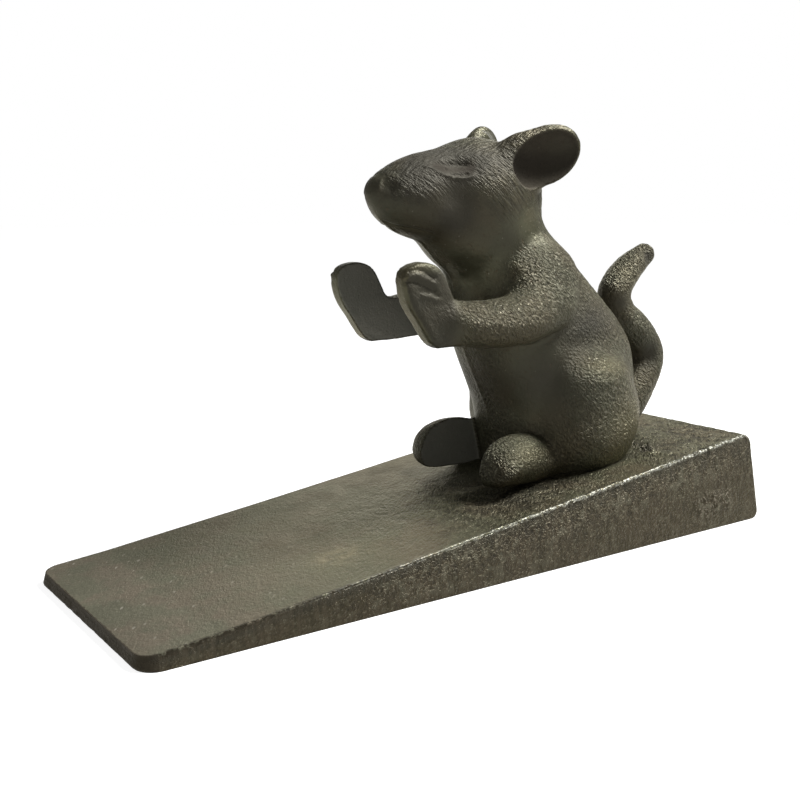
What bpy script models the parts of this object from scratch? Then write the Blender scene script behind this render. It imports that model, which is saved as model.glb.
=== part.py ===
"""Cast iron doorstop: a hollow wedge that carries a mouse made of two half castings.

Units are metres and +Z is up. The thin tip points along -X. The origin is the middle of the
doorstop's box, on the floor. The mouse is drawn in its own frame, whose origin is the seat
point on the wedge's sloping top, so that it follows the wedge when a size changes.
"""
import math

import bmesh
import bpy
from mathutils import Matrix, Vector

# Clearances
FIT_GAP = 0.0003            # between two pieces that touch
SCREW_GAP = 0.0003          # round a screw's shank in its hole

# Wedge casting
WEDGE_LENGTH = 0.150
WEDGE_WIDTH_BACK = 0.059
WEDGE_WIDTH_TIP = 0.051
WEDGE_HEIGHT_BACK = 0.0195
WEDGE_HEIGHT_TIP = 0.0022
DRAFT_ANGLE = math.radians(8.0)
TIP_FACE_ANGLE = math.radians(33.0)
CORNER_RADIUS = 0.0035
EDGE_RADIUS = 0.0004
BARE_SLOPE_LENGTH = 0.045   # from the tip to where the top steepens a little
SLOPE_DIP = 0.00025         # how far the top lies lower there than a straight line

# Hollow underside
PLATE_THICKNESS = 0.0040
SIDE_WALL = 0.0042
BACK_WALL = 0.0050
SOLID_TIP_LENGTH = 0.060
HOLLOW_CORNER_RADIUS = 0.0030
BOSS_RADIUS = 0.0056
BOSS_DEPTH = 0.0072         # from the sloping top down to the boss's face

# Seat of the mouse, measured forward from the wedge's back end
SEAT_FROM_BACK = 0.040

# Screws and washers
SCREW_DIAMETER = 0.0040
HEAD_DIAMETER = 0.0074
HEAD_HEIGHT = 0.0024
SLOT_WIDTH = 0.0010
SLOT_DEPTH = 0.0011
WASHER_DIAMETER = 0.0092
WASHER_THICKNESS = 0.0008
BASE_SCREW_LENGTH = 0.0185
BASE_SCREW_SPREAD = 0.0190
BASE_SCREW_FORWARD = 0.0020
CROSS_SCREW_LENGTH = 0.0200
CROSS_SCREW_PLACE = (-0.0020, 0.0230)
CROSS_HEAD_SEAT = 0.0115
COUNTERBORE_GAP = 0.0006

# Mouse: its height above the seat, and the height that the numbers below are drawn for
FIGURE_HEIGHT = 0.07296
FIGURE_DRAWN_HEIGHT = 0.07296
FIGURE_SCALE = FIGURE_HEIGHT / FIGURE_DRAWN_HEIGHT

# Mouse: torso sections from the rump up to the neck, in the seat's frame.
# Each is the height, the centre's x, half the length and half the width.
TORSO_SECTIONS = (
    (-0.0060, 0.0010, 0.0160, 0.0140),
    (0.0010, 0.0020, 0.0180, 0.0155),
    (0.0070, 0.0020, 0.0195, 0.0163),
    (0.0127, 0.0013, 0.0201, 0.0165),
    (0.0173, 0.0002, 0.0211, 0.0160),
    (0.0219, -0.0011, 0.0223, 0.0155),
    (0.0263, -0.0027, 0.0228, 0.0150),
    (0.0316, -0.0057, 0.0217, 0.0140),
    (0.0393, -0.0104, 0.0179, 0.0125),
    (0.0449, -0.0136, 0.0150, 0.0112),
    (0.0509, -0.0184, 0.0125, 0.0108),
    (0.0550, -0.0194, 0.0110, 0.0103),
)

# Mouse: ellipsoids, centre then radii
SKULL_CENTRE = (-0.0210, 0.0, 0.0592)
SKULL_RADII = (0.0130, 0.0115, 0.0104)
JAW_CENTRE = (-0.0262, 0.0, 0.0504)
JAW_RADII = (0.0098, 0.0085, 0.0074)
HAUNCH_CENTRE = (0.0012, 0.0120, 0.0120)
HAUNCH_RADII = (0.0130, 0.0075, 0.0145)
SHOULDER_CENTRE = (-0.0130, 0.0090, 0.0390)
SHOULDER_RADII = (0.0100, 0.0070, 0.0090)
FOOT_CENTRE = (-0.0183, 0.0115, 0.0030)
FOOT_RADII = (0.0110, 0.0057, 0.0060)
EAR_CENTRE = (-0.0132, 0.0105, 0.0668)
EAR_RADII = (0.0082, 0.0026, 0.0060)
EAR_SPLAY = math.radians(20.0)
EAR_TILT = math.radians(25.0)
EAR_ROOT_CENTRE = (-0.0182, 0.0085, 0.0660)
EAR_ROOT_RADII = (0.0065, 0.0030, 0.0048)
EAR_CUP_INSET = 0.0013
EAR_CUP_DEPTH = 0.0022

# Mouse: tapered tubes, each point followed by its radius
MUZZLE_PATH = (
    ((-0.0250, 0.0, 0.0590), 0.0104),
    ((-0.0375, 0.0, 0.0581), 0.0085),
    ((-0.0456, 0.0, 0.0586), 0.0042),
)
ARM_PATH = (
    ((-0.0110, 0.0108, 0.0350), 0.0066),
    ((-0.0220, 0.0132, 0.0335), 0.0054),
    ((-0.0375, 0.0129, 0.0333), 0.0044),
)
TAIL_PATH = (
    ((0.0150, 0.0, 0.0020), 0.0060),
    ((0.0215, 0.0, 0.0065), 0.0054),
    ((0.0280, 0.0, 0.0128), 0.0048),
    ((0.0318, 0.0, 0.0200), 0.0044),
    ((0.0280, 0.0, 0.0262), 0.0042),
    ((0.0217, 0.0, 0.0312), 0.0041),
    ((0.0200, 0.0, 0.0362), 0.0039),
    ((0.0238, 0.0, 0.0411), 0.0036),
    ((0.0297, 0.0, 0.0449), 0.0026),
)

# Mouse: paw, a slab drawn from the side
PAW_OUTLINE = (
    (-0.0422, 0.0287),
    (-0.0440, 0.0297),
    (-0.0456, 0.0317),
    (-0.0472, 0.0341),
    (-0.0489, 0.0364),
    (-0.0500, 0.0386),
    (-0.0506, 0.0410),
    (-0.0506, 0.0430),
    (-0.0497, 0.0443),
    (-0.0479, 0.0451),
    (-0.0455, 0.0454),
    (-0.0431, 0.0448),
    (-0.0415, 0.0436),
    (-0.0403, 0.0416),
    (-0.0393, 0.0397),
    (-0.0380, 0.0374),
    (-0.0360, 0.0345),
    (-0.0350, 0.0288),
)
PAW_MIDDLE = 0.0107
PAW_THICKNESS = 0.0043
PAW_ROUNDING = 0.0012
PAW_LIFT = {-1.0: 0.0005, 1.0: -0.0005}

# Flat inner faces left by the parting of each half casting
LIMB_INNER_FACE = 0.0100
ARM_GAP = ((-0.0560, 0.0280), (-0.0285, 0.0480))
FOOT_GAP = ((-0.0400, -0.0080), (-0.0195, 0.0100))

# How finely the pieces are meshed
VOXEL = 0.0007
SMOOTH_STEPS = 10
SMOOTH_SHARE = 0.5
KEPT_FACES = 0.11
ROUND_STEPS = 32
BALL_RINGS = 20
LOFT_STEPS = 40
CORNER_STEPS = 5
EDGE_STEPS = 2
TUBE_STEPS = 6
PAW_ROUND_STEPS = 4
PATH_STEPS = 8
SHARP_ANGLE = math.radians(40.0)
CUBE_SIDE = 2.0             # a cube whose corners are all at plus or minus one
WELD_DISTANCE = 0.000001
AXIS_WELD_DISTANCE = 0.00001

# Materials: colour, roughness and metallic share
FINISHES = {
    "wedge_iron": ((0.072, 0.068, 0.056), 0.55, 0.85),
    "figure_iron": ((0.062, 0.058, 0.048), 0.48, 0.85),
    "screw_steel": ((0.42, 0.42, 0.41), 0.35, 1.0),
    "washer_zinc": ((0.55, 0.55, 0.53), 0.40, 1.0),
}


def clear_scene():
    """Remove every object of the open scene."""
    for item in list(bpy.data.objects):
        bpy.data.objects.remove(item, do_unlink=True)


def make_collection(name, hidden=False):
    collection = bpy.data.collections.new(name)
    bpy.context.scene.collection.children.link(collection)
    collection.hide_render = hidden
    return collection


def make_material(name):
    colour, roughness, metallic = FINISHES[name]
    material = bpy.data.materials.new(name)
    material.use_nodes = True
    shader = material.node_tree.nodes["Principled BSDF"]
    shader.inputs["Base Color"].default_value = (*colour, 1.0)
    shader.inputs["Roughness"].default_value = roughness
    shader.inputs["Metallic"].default_value = metallic
    material.diffuse_color = (*colour, 1.0)
    return material


def object_from_bmesh(name, bm, collection, material=None):
    mesh = bpy.data.meshes.new(name)
    bm.to_mesh(mesh)
    bm.free()
    if material is not None:
        mesh.materials.append(material)
    item = bpy.data.objects.new(name, mesh)
    collection.objects.link(item)
    return item


def evaluated_mesh(item):
    """Give the object's mesh with its modifiers worked in."""
    depsgraph = bpy.context.evaluated_depsgraph_get()
    return bpy.data.meshes.new_from_object(item.evaluated_get(depsgraph))


def mark_cutter(item):
    item.hide_render = True
    item.display_type = "WIRE"
    return item


def cut(target, cutter, operation="DIFFERENCE"):
    modifier = target.modifiers.new(cutter.name, "BOOLEAN")
    modifier.operation = operation
    modifier.object = cutter
    modifier.solver = "EXACT"


def box_cutter(name, low, high, collection):
    bm = bmesh.new()
    size = [b - a for a, b in zip(low, high)]
    centre = [(a + b) / 2.0 for a, b in zip(low, high)]
    placing = Matrix.Translation(centre) @ Matrix.Diagonal((*size, 1.0))
    bmesh.ops.create_cube(bm, size=1.0, matrix=placing)
    return mark_cutter(object_from_bmesh(name, bm, collection))


def cylinder(bm, radius, length, placing):
    """Add a closed cylinder whose base sits at the placing's origin."""
    bmesh.ops.create_cone(
        bm, cap_ends=True, cap_tris=False, segments=ROUND_STEPS,
        radius1=radius, radius2=radius, depth=length,
        matrix=placing @ Matrix.Translation((0.0, 0.0, length / 2.0)))


# Wedge geometry

def straight_top(x):
    """Height at x of a straight line from the tip's upper edge to the back's upper edge."""
    low_x = -WEDGE_LENGTH / 2.0 + WEDGE_HEIGHT_TIP * math.tan(TIP_FACE_ANGLE)
    high_x = WEDGE_LENGTH / 2.0 - WEDGE_HEIGHT_BACK * math.tan(DRAFT_ANGLE)
    share = (x - low_x) / (high_x - low_x)
    return WEDGE_HEIGHT_TIP + share * (WEDGE_HEIGHT_BACK - WEDGE_HEIGHT_TIP)


def bend_point():
    """Where the sloping top steepens: x and height."""
    x = -WEDGE_LENGTH / 2.0 + BARE_SLOPE_LENGTH
    return x, straight_top(x) - SLOPE_DIP


def seat_slope(x):
    """Height at x of the steeper part of the top, which carries the mouse."""
    low_x, low_z = bend_point()
    high_x = WEDGE_LENGTH / 2.0 - WEDGE_HEIGHT_BACK * math.tan(DRAFT_ANGLE)
    return low_z + (x - low_x) / (high_x - low_x) * (WEDGE_HEIGHT_BACK - low_z)


def wedge_half_width(x, z):
    """Half the wedge's width at x and height z, from its plan taper and side draft."""
    share = (x + WEDGE_LENGTH / 2.0) / WEDGE_LENGTH
    width = WEDGE_WIDTH_TIP + share * (WEDGE_WIDTH_BACK - WEDGE_WIDTH_TIP)
    return width / 2.0 - z * math.tan(DRAFT_ANGLE)


def tapered_block(corner_at, corner_radius):
    """A cube whose eight corners move to corner_at(back, top, side), its upright edges rounded."""
    bm = bmesh.new()
    bmesh.ops.create_cube(bm, size=CUBE_SIDE)
    for vertex in bm.verts:
        x, y, z = vertex.co
        vertex.co = corner_at(x > 0.0, z > 0.0, math.copysign(1.0, y))
    upright = [edge for edge in bm.edges
               if abs(edge.verts[0].co.z - edge.verts[1].co.z) > WEDGE_HEIGHT_TIP / 2.0
               and abs(edge.verts[0].co.x - edge.verts[1].co.x) < WEDGE_LENGTH / 4.0]
    bmesh.ops.bevel(bm, geom=upright, offset=corner_radius, segments=CORNER_STEPS, profile=0.5,
                    affect="EDGES", clamp_overlap=True)
    return bm


def wedge_corner(back, top, side):
    if back:
        x = WEDGE_LENGTH / 2.0 - (WEDGE_HEIGHT_BACK * math.tan(DRAFT_ANGLE) if top else 0.0)
    else:
        x = -WEDGE_LENGTH / 2.0 + (WEDGE_HEIGHT_TIP * math.tan(TIP_FACE_ANGLE) if top else 0.0)
    z = straight_top(x) if top else 0.0
    return Vector((x, side * wedge_half_width(x, z), z))


def hollow_corner(back, top, side):
    x = WEDGE_LENGTH / 2.0 - BACK_WALL if back else -WEDGE_LENGTH / 2.0 + SOLID_TIP_LENGTH
    if back and top:
        x -= WEDGE_HEIGHT_BACK * math.tan(DRAFT_ANGLE)
    z = seat_slope(x) - PLATE_THICKNESS if top else -PLATE_THICKNESS
    return Vector((x, side * (wedge_half_width(x, z) - SIDE_WALL), z))


def seat_point():
    x = WEDGE_LENGTH / 2.0 - SEAT_FROM_BACK
    return Vector((x, 0.0, seat_slope(x)))


def base_screw_axis(side):
    """Foot of the upright axis of the screw on one side, on the floor."""
    seat = seat_point()
    return Vector((seat.x - BASE_SCREW_FORWARD * FIGURE_SCALE,
                   side * FIGURE_SCALE * BASE_SCREW_SPREAD / 2.0, 0.0))


def boss_face_height():
    return seat_slope(base_screw_axis(1.0).x) - BOSS_DEPTH


def bend_top(bm):
    """Split the block across and set the new upper points on the bend, within the side walls."""
    x, z = bend_point()
    bmesh.ops.bisect_plane(bm, geom=bm.verts[:] + bm.edges[:] + bm.faces[:],
                           plane_co=(x, 0.0, 0.0), plane_no=(1.0, 0.0, 0.0))
    for vertex in bm.verts:
        if abs(vertex.co.x - x) < WELD_DISTANCE and vertex.co.z > z / 2.0:
            vertex.co = (x, math.copysign(wedge_half_width(x, z), vertex.co.y), z)


def make_wedge(parts, cutters, iron):
    bm = tapered_block(wedge_corner, CORNER_RADIUS)
    bend_top(bm)
    wedge = object_from_bmesh("wedge_base", bm, parts, iron)
    rounding = wedge.modifiers.new("edge_rounding", "BEVEL")
    rounding.width = EDGE_RADIUS
    rounding.segments = EDGE_STEPS
    rounding.limit_method = "ANGLE"
    rounding.angle_limit = SHARP_ANGLE

    hollow_bm = tapered_block(hollow_corner, HOLLOW_CORNER_RADIUS)
    hollow = mark_cutter(object_from_bmesh("hollow_cutter", hollow_bm, cutters))
    boss_bm = bmesh.new()
    hole_bm = bmesh.new()
    for side in (-1.0, 1.0):
        axis = base_screw_axis(side)
        face = Matrix.Translation(axis + Vector((0.0, 0.0, boss_face_height())))
        cylinder(boss_bm, BOSS_RADIUS, WEDGE_HEIGHT_BACK, face)
        cylinder(hole_bm, SCREW_DIAMETER / 2.0 + SCREW_GAP, 2.0 * WEDGE_HEIGHT_BACK,
                 Matrix.Translation(axis))
    bosses = mark_cutter(object_from_bmesh("boss_keeper", boss_bm, cutters))
    holes = mark_cutter(object_from_bmesh("base_hole_cutter", hole_bm, cutters))
    cut(hollow, bosses)
    cut(wedge, hollow)
    cut(wedge, holes)
    return wedge


# Mouse geometry

def mirrored(point, side):
    return Vector((point[0], side * point[1], point[2]))


def add_ellipsoid(bm, centre, radii, turn=Matrix.Identity(4)):
    placing = Matrix.Translation(centre) @ turn @ Matrix.Diagonal((*radii, 1.0))
    bmesh.ops.create_uvsphere(bm, u_segments=ROUND_STEPS, v_segments=BALL_RINGS, radius=1.0,
                              matrix=placing)


def add_loft(bm, sections):
    """A closed skin over level ellipses, one for each section."""
    rings = []
    for height, middle, half_length, half_width in sections:
        ring = []
        for step in range(LOFT_STEPS):
            angle = math.tau * step / LOFT_STEPS
            place = (middle + half_length * math.cos(angle), half_width * math.sin(angle), height)
            ring.append(bm.verts.new(place))
        rings.append(ring)
    for lower, upper in zip(rings, rings[1:]):
        for step in range(LOFT_STEPS):
            after = (step + 1) % LOFT_STEPS
            bm.faces.new((lower[step], lower[after], upper[after], upper[step]))
    bm.faces.new(list(reversed(rings[0])))
    bm.faces.new(rings[-1])


def add_curve(bm, curve, placing=Matrix.Identity(4)):
    """Turn a curve into a closed mesh and add it."""
    item = bpy.data.objects.new("guide", curve)
    bpy.context.scene.collection.objects.link(item)
    item.matrix_world = placing
    bpy.context.view_layer.update()
    mesh = evaluated_mesh(item)
    mesh.transform(placing)
    piece = bmesh.new()
    piece.from_mesh(mesh)
    bmesh.ops.remove_doubles(piece, verts=piece.verts, dist=WELD_DISTANCE)
    piece.to_mesh(mesh)
    piece.free()
    bm.from_mesh(mesh)
    bpy.data.meshes.remove(mesh)
    bpy.data.objects.remove(item, do_unlink=True)
    bpy.data.curves.remove(curve)


def add_tapered_tube(bm, path, side=1.0):
    """A tube along a smooth curve through the path, with a ball at each end."""
    curve = bpy.data.curves.new("tube", "CURVE")
    curve.dimensions = "3D"
    curve.bevel_depth = 1.0
    curve.bevel_resolution = TUBE_STEPS
    curve.resolution_u = PATH_STEPS
    curve.use_fill_caps = True
    spline = curve.splines.new("BEZIER")
    spline.bezier_points.add(len(path) - 1)
    for knot, (point, radius) in zip(spline.bezier_points, path):
        knot.co = mirrored(point, side)
        knot.radius = radius
        knot.handle_left_type = "AUTO"
        knot.handle_right_type = "AUTO"
    add_curve(bm, curve)
    for point, radius in (path[0], path[-1]):
        add_ellipsoid(bm, mirrored(point, side), (radius, radius, radius))


def add_paw(bm, side):
    """The paw's outline, extruded across and rounded, stood up in the XZ plane."""
    curve = bpy.data.curves.new("paw", "CURVE")
    curve.dimensions = "2D"
    curve.fill_mode = "BOTH"
    curve.extrude = PAW_THICKNESS / 2.0 - PAW_ROUNDING
    curve.bevel_depth = PAW_ROUNDING
    curve.bevel_resolution = PAW_ROUND_STEPS
    curve.offset = -PAW_ROUNDING
    spline = curve.splines.new("POLY")
    spline.points.add(len(PAW_OUTLINE) - 1)
    for knot, (x, z) in zip(spline.points, PAW_OUTLINE):
        knot.co = (x, z, 0.0, 1.0)
    spline.use_cyclic_u = True
    upright = Matrix.Rotation(math.radians(90.0), 4, "X")
    place = Matrix.Translation((0.0, side * PAW_MIDDLE, PAW_LIFT[side]))
    add_curve(bm, curve, place @ upright)


def add_foot(bm, side):
    """A rounded foot with its inner side flat, just short of the limb's inner face."""
    foot = bmesh.new()
    add_ellipsoid(foot, mirrored(FOOT_CENTRE, side), FOOT_RADII)
    plane = Vector((0.0, side * (LIMB_INNER_FACE - FIT_GAP), 0.0))
    cut_ring = bmesh.ops.bisect_plane(
        foot, geom=foot.verts[:] + foot.edges[:] + foot.faces[:], plane_co=plane,
        plane_no=Vector((0.0, -side, 0.0)), clear_outer=True)["geom_cut"]
    rim = [piece for piece in cut_ring if isinstance(piece, bmesh.types.BMEdge)]
    bmesh.ops.edgeloop_fill(foot, edges=rim)
    mesh = bpy.data.meshes.new("foot")
    foot.to_mesh(mesh)
    foot.free()
    bm.from_mesh(mesh)
    bpy.data.meshes.remove(mesh)


def ear_turn(side):
    return (Matrix.Rotation(side * EAR_SPLAY, 4, "Z")
            @ Matrix.Rotation(-EAR_TILT, 4, "Y"))


def make_pattern(cutters):
    """The whole mouse as one blended body, before it is parted into halves."""
    bm = bmesh.new()
    add_loft(bm, TORSO_SECTIONS)
    add_ellipsoid(bm, SKULL_CENTRE, SKULL_RADII)
    add_ellipsoid(bm, JAW_CENTRE, JAW_RADII)
    add_tapered_tube(bm, MUZZLE_PATH)
    add_tapered_tube(bm, TAIL_PATH)
    for side in (-1.0, 1.0):
        add_ellipsoid(bm, mirrored(HAUNCH_CENTRE, side), HAUNCH_RADII)
        add_ellipsoid(bm, mirrored(SHOULDER_CENTRE, side), SHOULDER_RADII)
        add_foot(bm, side)
        add_ellipsoid(bm, mirrored(EAR_ROOT_CENTRE, side), EAR_ROOT_RADII, ear_turn(side))
        add_ellipsoid(bm, mirrored(EAR_CENTRE, side), EAR_RADII, ear_turn(side))
        add_tapered_tube(bm, ARM_PATH, side)
        add_paw(bm, side)
    pattern = object_from_bmesh("mouse_pattern", bm, cutters)
    skin = pattern.modifiers.new("skin", "REMESH")
    skin.mode = "VOXEL"
    skin.voxel_size = VOXEL
    blend = pattern.modifiers.new("blend", "SMOOTH")
    blend.factor = SMOOTH_SHARE
    blend.iterations = SMOOTH_STEPS
    thinning = pattern.modifiers.new("thinning", "DECIMATE")
    thinning.ratio = KEPT_FACES
    bpy.context.view_layer.update()
    mesh = evaluated_mesh(pattern)
    bpy.data.objects.remove(pattern, do_unlink=True)
    mesh.transform(Matrix.Translation(seat_point()) @ Matrix.Scale(FIGURE_SCALE, 4))
    return mesh


def seat_cutter(cutters):
    """A slab below the plane that carries the mouse, lifted by the fitting gap."""
    x_low = -WEDGE_LENGTH
    x_high = WEDGE_LENGTH
    bm = bmesh.new()
    bmesh.ops.create_cube(bm, size=CUBE_SIDE)
    for vertex in bm.verts:
        x = x_high if vertex.co.x > 0.0 else x_low
        top = seat_slope(x) + FIT_GAP
        z = top if vertex.co.z > 0.0 else top - WEDGE_LENGTH
        vertex.co = (x, math.copysign(WEDGE_WIDTH_BACK, vertex.co.y), z)
    return mark_cutter(object_from_bmesh("seat_cutter", bm, cutters))


def make_half(name, side, pattern, cutters, parts, iron):
    """One half casting: the pattern parted at the middle plane, seated and bored."""
    mesh = pattern.copy()
    mesh.name = name
    mesh.materials.clear()
    mesh.materials.append(iron)
    half = bpy.data.objects.new(name, mesh)
    parts.objects.link(half)
    seat = seat_point()

    low_y, high_y = sorted((side * FIT_GAP / 2.0, side * WEDGE_WIDTH_BACK))
    keep = box_cutter(name + "_keeper", (-WEDGE_LENGTH, low_y, -WEDGE_WIDTH_BACK),
                      (WEDGE_LENGTH, high_y, WEDGE_LENGTH), cutters)
    cut(half, keep, "INTERSECT")
    cut(half, bpy.data.objects["seat_cutter"])
    for label, gap in (("arm_gap", ARM_GAP), ("foot_gap", FOOT_GAP)):
        (x_low, z_low), (x_high, z_high) = gap
        low = seat + FIGURE_SCALE * Vector((x_low, -LIMB_INNER_FACE, z_low))
        high = seat + FIGURE_SCALE * Vector((x_high, LIMB_INNER_FACE, z_high))
        cut(half, box_cutter(name + "_" + label, low, high, cutters))

    bores = bmesh.new()
    add_ear_cup(bores, side)
    screw_foot = base_screw_axis(side)
    cylinder(bores, SCREW_DIAMETER / 2.0 + SCREW_GAP, screw_tip_height() + FIT_GAP,
             Matrix.Translation(screw_foot))
    cylinder(bores, SCREW_DIAMETER / 2.0 + SCREW_GAP,
             CROSS_SCREW_LENGTH + 3.0 * FIT_GAP, cross_screw_placing(2.0 * FIT_GAP))
    cylinder(bores, HEAD_DIAMETER / 2.0 + COUNTERBORE_GAP, WEDGE_WIDTH_BACK,
             counterbore_placing())
    bore_cutter = mark_cutter(object_from_bmesh(name + "_bores", bores, cutters))
    cut(half, bore_cutter)
    half.data.shade_smooth()
    return half


def add_ear_cup(bm, side):
    """The hollow of the ear, open on its outer face."""
    turn = ear_turn(side)
    radii = (EAR_RADII[0] - EAR_CUP_INSET, EAR_CUP_DEPTH, EAR_RADII[2] - EAR_CUP_INSET)
    outward = turn @ Vector((0.0, side * EAR_RADII[1], 0.0))
    centre = seat_point() + FIGURE_SCALE * (mirrored(EAR_CENTRE, side) + outward)
    add_ellipsoid(bm, centre, FIGURE_SCALE * Vector(radii), turn)


# Fasteners

def screw_tip_height():
    """Height of the base screws' tips above the floor."""
    return boss_face_height() - WASHER_THICKNESS - 2.0 * FIT_GAP + BASE_SCREW_LENGTH


def cross_screw_seat():
    """Middle of the face on which the cross screw's head bears."""
    x, z = CROSS_SCREW_PLACE
    return seat_point() + FIGURE_SCALE * Vector((x, CROSS_HEAD_SEAT, z))


def cross_screw_placing(extra=0.0):
    """Base of the cross screw's shank, under its head, with its axis along -Y."""
    place = Matrix.Translation(cross_screw_seat() + Vector((0.0, FIT_GAP + extra, 0.0)))
    return place @ Matrix.Rotation(math.radians(90.0), 4, "X")


def counterbore_placing():
    place = Matrix.Translation(cross_screw_seat())
    return place @ Matrix.Rotation(math.radians(-90.0), 4, "X")


def screw_profile(length):
    """Half section of a cheese-head screw, from the shank's tip down to the axis."""
    shank = SCREW_DIAMETER / 2.0
    head = HEAD_DIAMETER / 2.0
    chamfer = SCREW_DIAMETER / 8.0
    return (
        (0.0, length),
        (shank - chamfer, length),
        (shank, length - chamfer),
        (shank, 0.0),
        (head, 0.0),
        (head, -HEAD_HEIGHT + chamfer),
        (head - chamfer, -HEAD_HEIGHT),
        (0.0, -HEAD_HEIGHT),
    )


def turned_piece(name, profile, placing, parts, material):
    """A profile in the XZ plane turned about the Z axis, closed on the axis."""
    bm = bmesh.new()
    points = [bm.verts.new((radius, 0.0, height)) for radius, height in profile]
    for first, second in zip(points, points[1:]):
        bm.edges.new((first, second))
    item = object_from_bmesh(name, bm, parts, material)
    turning = item.modifiers.new("turning", "SCREW")
    turning.steps = ROUND_STEPS
    turning.render_steps = ROUND_STEPS
    turning.use_merge_vertices = True
    turning.merge_threshold = AXIS_WELD_DISTANCE
    item.matrix_world = placing
    return item


def make_screw(name, length, placing, parts, cutters, steel):
    screw = turned_piece(name, screw_profile(length), placing, parts, steel)
    slot = box_cutter(name + "_slot", (-HEAD_DIAMETER, -SLOT_WIDTH / 2.0, -2.0 * HEAD_HEIGHT),
                      (HEAD_DIAMETER, SLOT_WIDTH / 2.0, -HEAD_HEIGHT + SLOT_DEPTH), cutters)
    slot.matrix_world = placing
    cut(screw, slot)
    return screw


def make_washer(name, placing, parts, steel):
    inner = SCREW_DIAMETER / 2.0 + SCREW_GAP
    outer = WASHER_DIAMETER / 2.0
    profile = (
        (inner, 0.0),
        (inner, WASHER_THICKNESS),
        (outer, WASHER_THICKNESS),
        (outer, 0.0),
        (inner, 0.0),
    )
    return turned_piece(name, profile, placing, parts, steel)


def make_fasteners(parts, cutters, steel, zinc):
    for label, side in (("left", -1.0), ("right", 1.0)):
        foot = base_screw_axis(side)
        washer_base = boss_face_height() - FIT_GAP - WASHER_THICKNESS
        make_washer("base_washer_" + label,
                    Matrix.Translation(foot + Vector((0.0, 0.0, washer_base))), parts, zinc)
        head_face = washer_base - FIT_GAP
        make_screw("base_screw_" + label, BASE_SCREW_LENGTH,
                   Matrix.Translation(foot + Vector((0.0, 0.0, head_face))),
                   parts, cutters, steel)
    make_screw("cross_screw", CROSS_SCREW_LENGTH, cross_screw_placing(), parts, cutters, steel)


def build():
    clear_scene()
    parts = make_collection("cast_iron_doorstop")
    cutters = make_collection("cutters", hidden=True)
    wedge_iron = make_material("wedge_iron")
    figure_iron = make_material("figure_iron")
    steel = make_material("screw_steel")
    zinc = make_material("washer_zinc")

    make_wedge(parts, cutters, wedge_iron)
    seat_cutter(cutters)
    pattern = make_pattern(cutters)
    make_half("mouse_left_half", -1.0, pattern, cutters, parts, figure_iron)
    make_half("mouse_right_half", 1.0, pattern, cutters, parts, figure_iron)
    bpy.data.meshes.remove(pattern)
    make_fasteners(parts, cutters, steel, zinc)


build()
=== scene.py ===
import math

import bmesh
import bpy
import numpy as np
from mathutils import Matrix, Vector


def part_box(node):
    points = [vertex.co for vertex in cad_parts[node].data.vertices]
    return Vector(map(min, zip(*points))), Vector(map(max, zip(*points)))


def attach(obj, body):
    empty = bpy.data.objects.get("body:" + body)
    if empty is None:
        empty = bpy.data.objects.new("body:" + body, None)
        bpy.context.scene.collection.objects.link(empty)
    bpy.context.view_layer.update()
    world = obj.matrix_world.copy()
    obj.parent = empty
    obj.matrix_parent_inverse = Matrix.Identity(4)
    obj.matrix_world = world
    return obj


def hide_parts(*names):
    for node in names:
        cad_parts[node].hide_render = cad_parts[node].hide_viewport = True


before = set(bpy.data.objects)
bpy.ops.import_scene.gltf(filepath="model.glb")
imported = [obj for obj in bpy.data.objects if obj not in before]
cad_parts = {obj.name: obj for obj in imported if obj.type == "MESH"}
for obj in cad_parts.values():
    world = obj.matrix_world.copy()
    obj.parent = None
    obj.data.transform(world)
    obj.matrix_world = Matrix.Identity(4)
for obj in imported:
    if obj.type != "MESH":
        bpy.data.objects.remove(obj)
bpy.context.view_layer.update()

scene = bpy.context.scene
MM = 0.001


# The wedge. One grey iron casting, left as it came out of the sand and then waxed dark. Its top
# slopes from the thin tip to the thick end, with a ragged bead of metal along its upper edges,
# and its underside is hollow, with two bosses that take the screws.
wedge_low, wedge_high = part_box("wedge_base")
TIP_X = wedge_low[0] / MM
BACK_X = wedge_high[0] / MM
TIP_WIDTH = 51.0
BACK_WIDTH = 59.0
TIP_HEIGHT = 2.2
BACK_HEIGHT = 19.5
SIDE_DRAFT = math.tan(math.radians(8.0))
TIP_LEAN = math.tan(math.radians(33.0))
TIP_STEEP = math.tan(math.radians(14.0))
TIP_LIFT = 0.35
TIP_CORNER = 3.5
BACK_CORNER = 1.2
TIP_ROUND = 0.5
BACK_LEAN = math.tan(math.radians(3.5))
BACK_ROUND_LOW = 2.0
BACK_ROUND_HIGH = 2.5
WEDGE_STEP = 0.42
WALL_STEP = 0.80
EDGE_STEP = 0.17


def rise(value, start, end):
    """0 at start, 1 at end and past it, straight between."""
    return np.clip((value - start) / (end - start), 0.0, 1.0)


def spread(low, high, step, low_band, high_band):
    """Numbers from low to high, EDGE_STEP apart within the bands at the ends, else step apart."""
    first = np.arange(low, low + low_band, EDGE_STEP)
    last = high - np.arange(0.0, high_band, EDGE_STEP)
    count = int((high - low - low_band - high_band) / step) + 2
    middle = np.linspace(low + low_band, high - high_band, count)
    return np.unique(np.concatenate([first, middle, last]).round(6))


TOP_TIP_X = TIP_X + TIP_HEIGHT * TIP_LEAN
TOP_BACK_X = BACK_X - BACK_HEIGHT * SIDE_DRAFT
BEND_X = -30.0
SLOPE_DIP = 0.25
LIFT_LENGTH = 14.0


def straight_height(x):
    """Height of a straight line from the tip's upper edge to the back's upper edge."""
    share = (x - TOP_TIP_X) / (TOP_BACK_X - TOP_TIP_X)
    return TIP_HEIGHT + share * (BACK_HEIGHT - TIP_HEIGHT)


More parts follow.
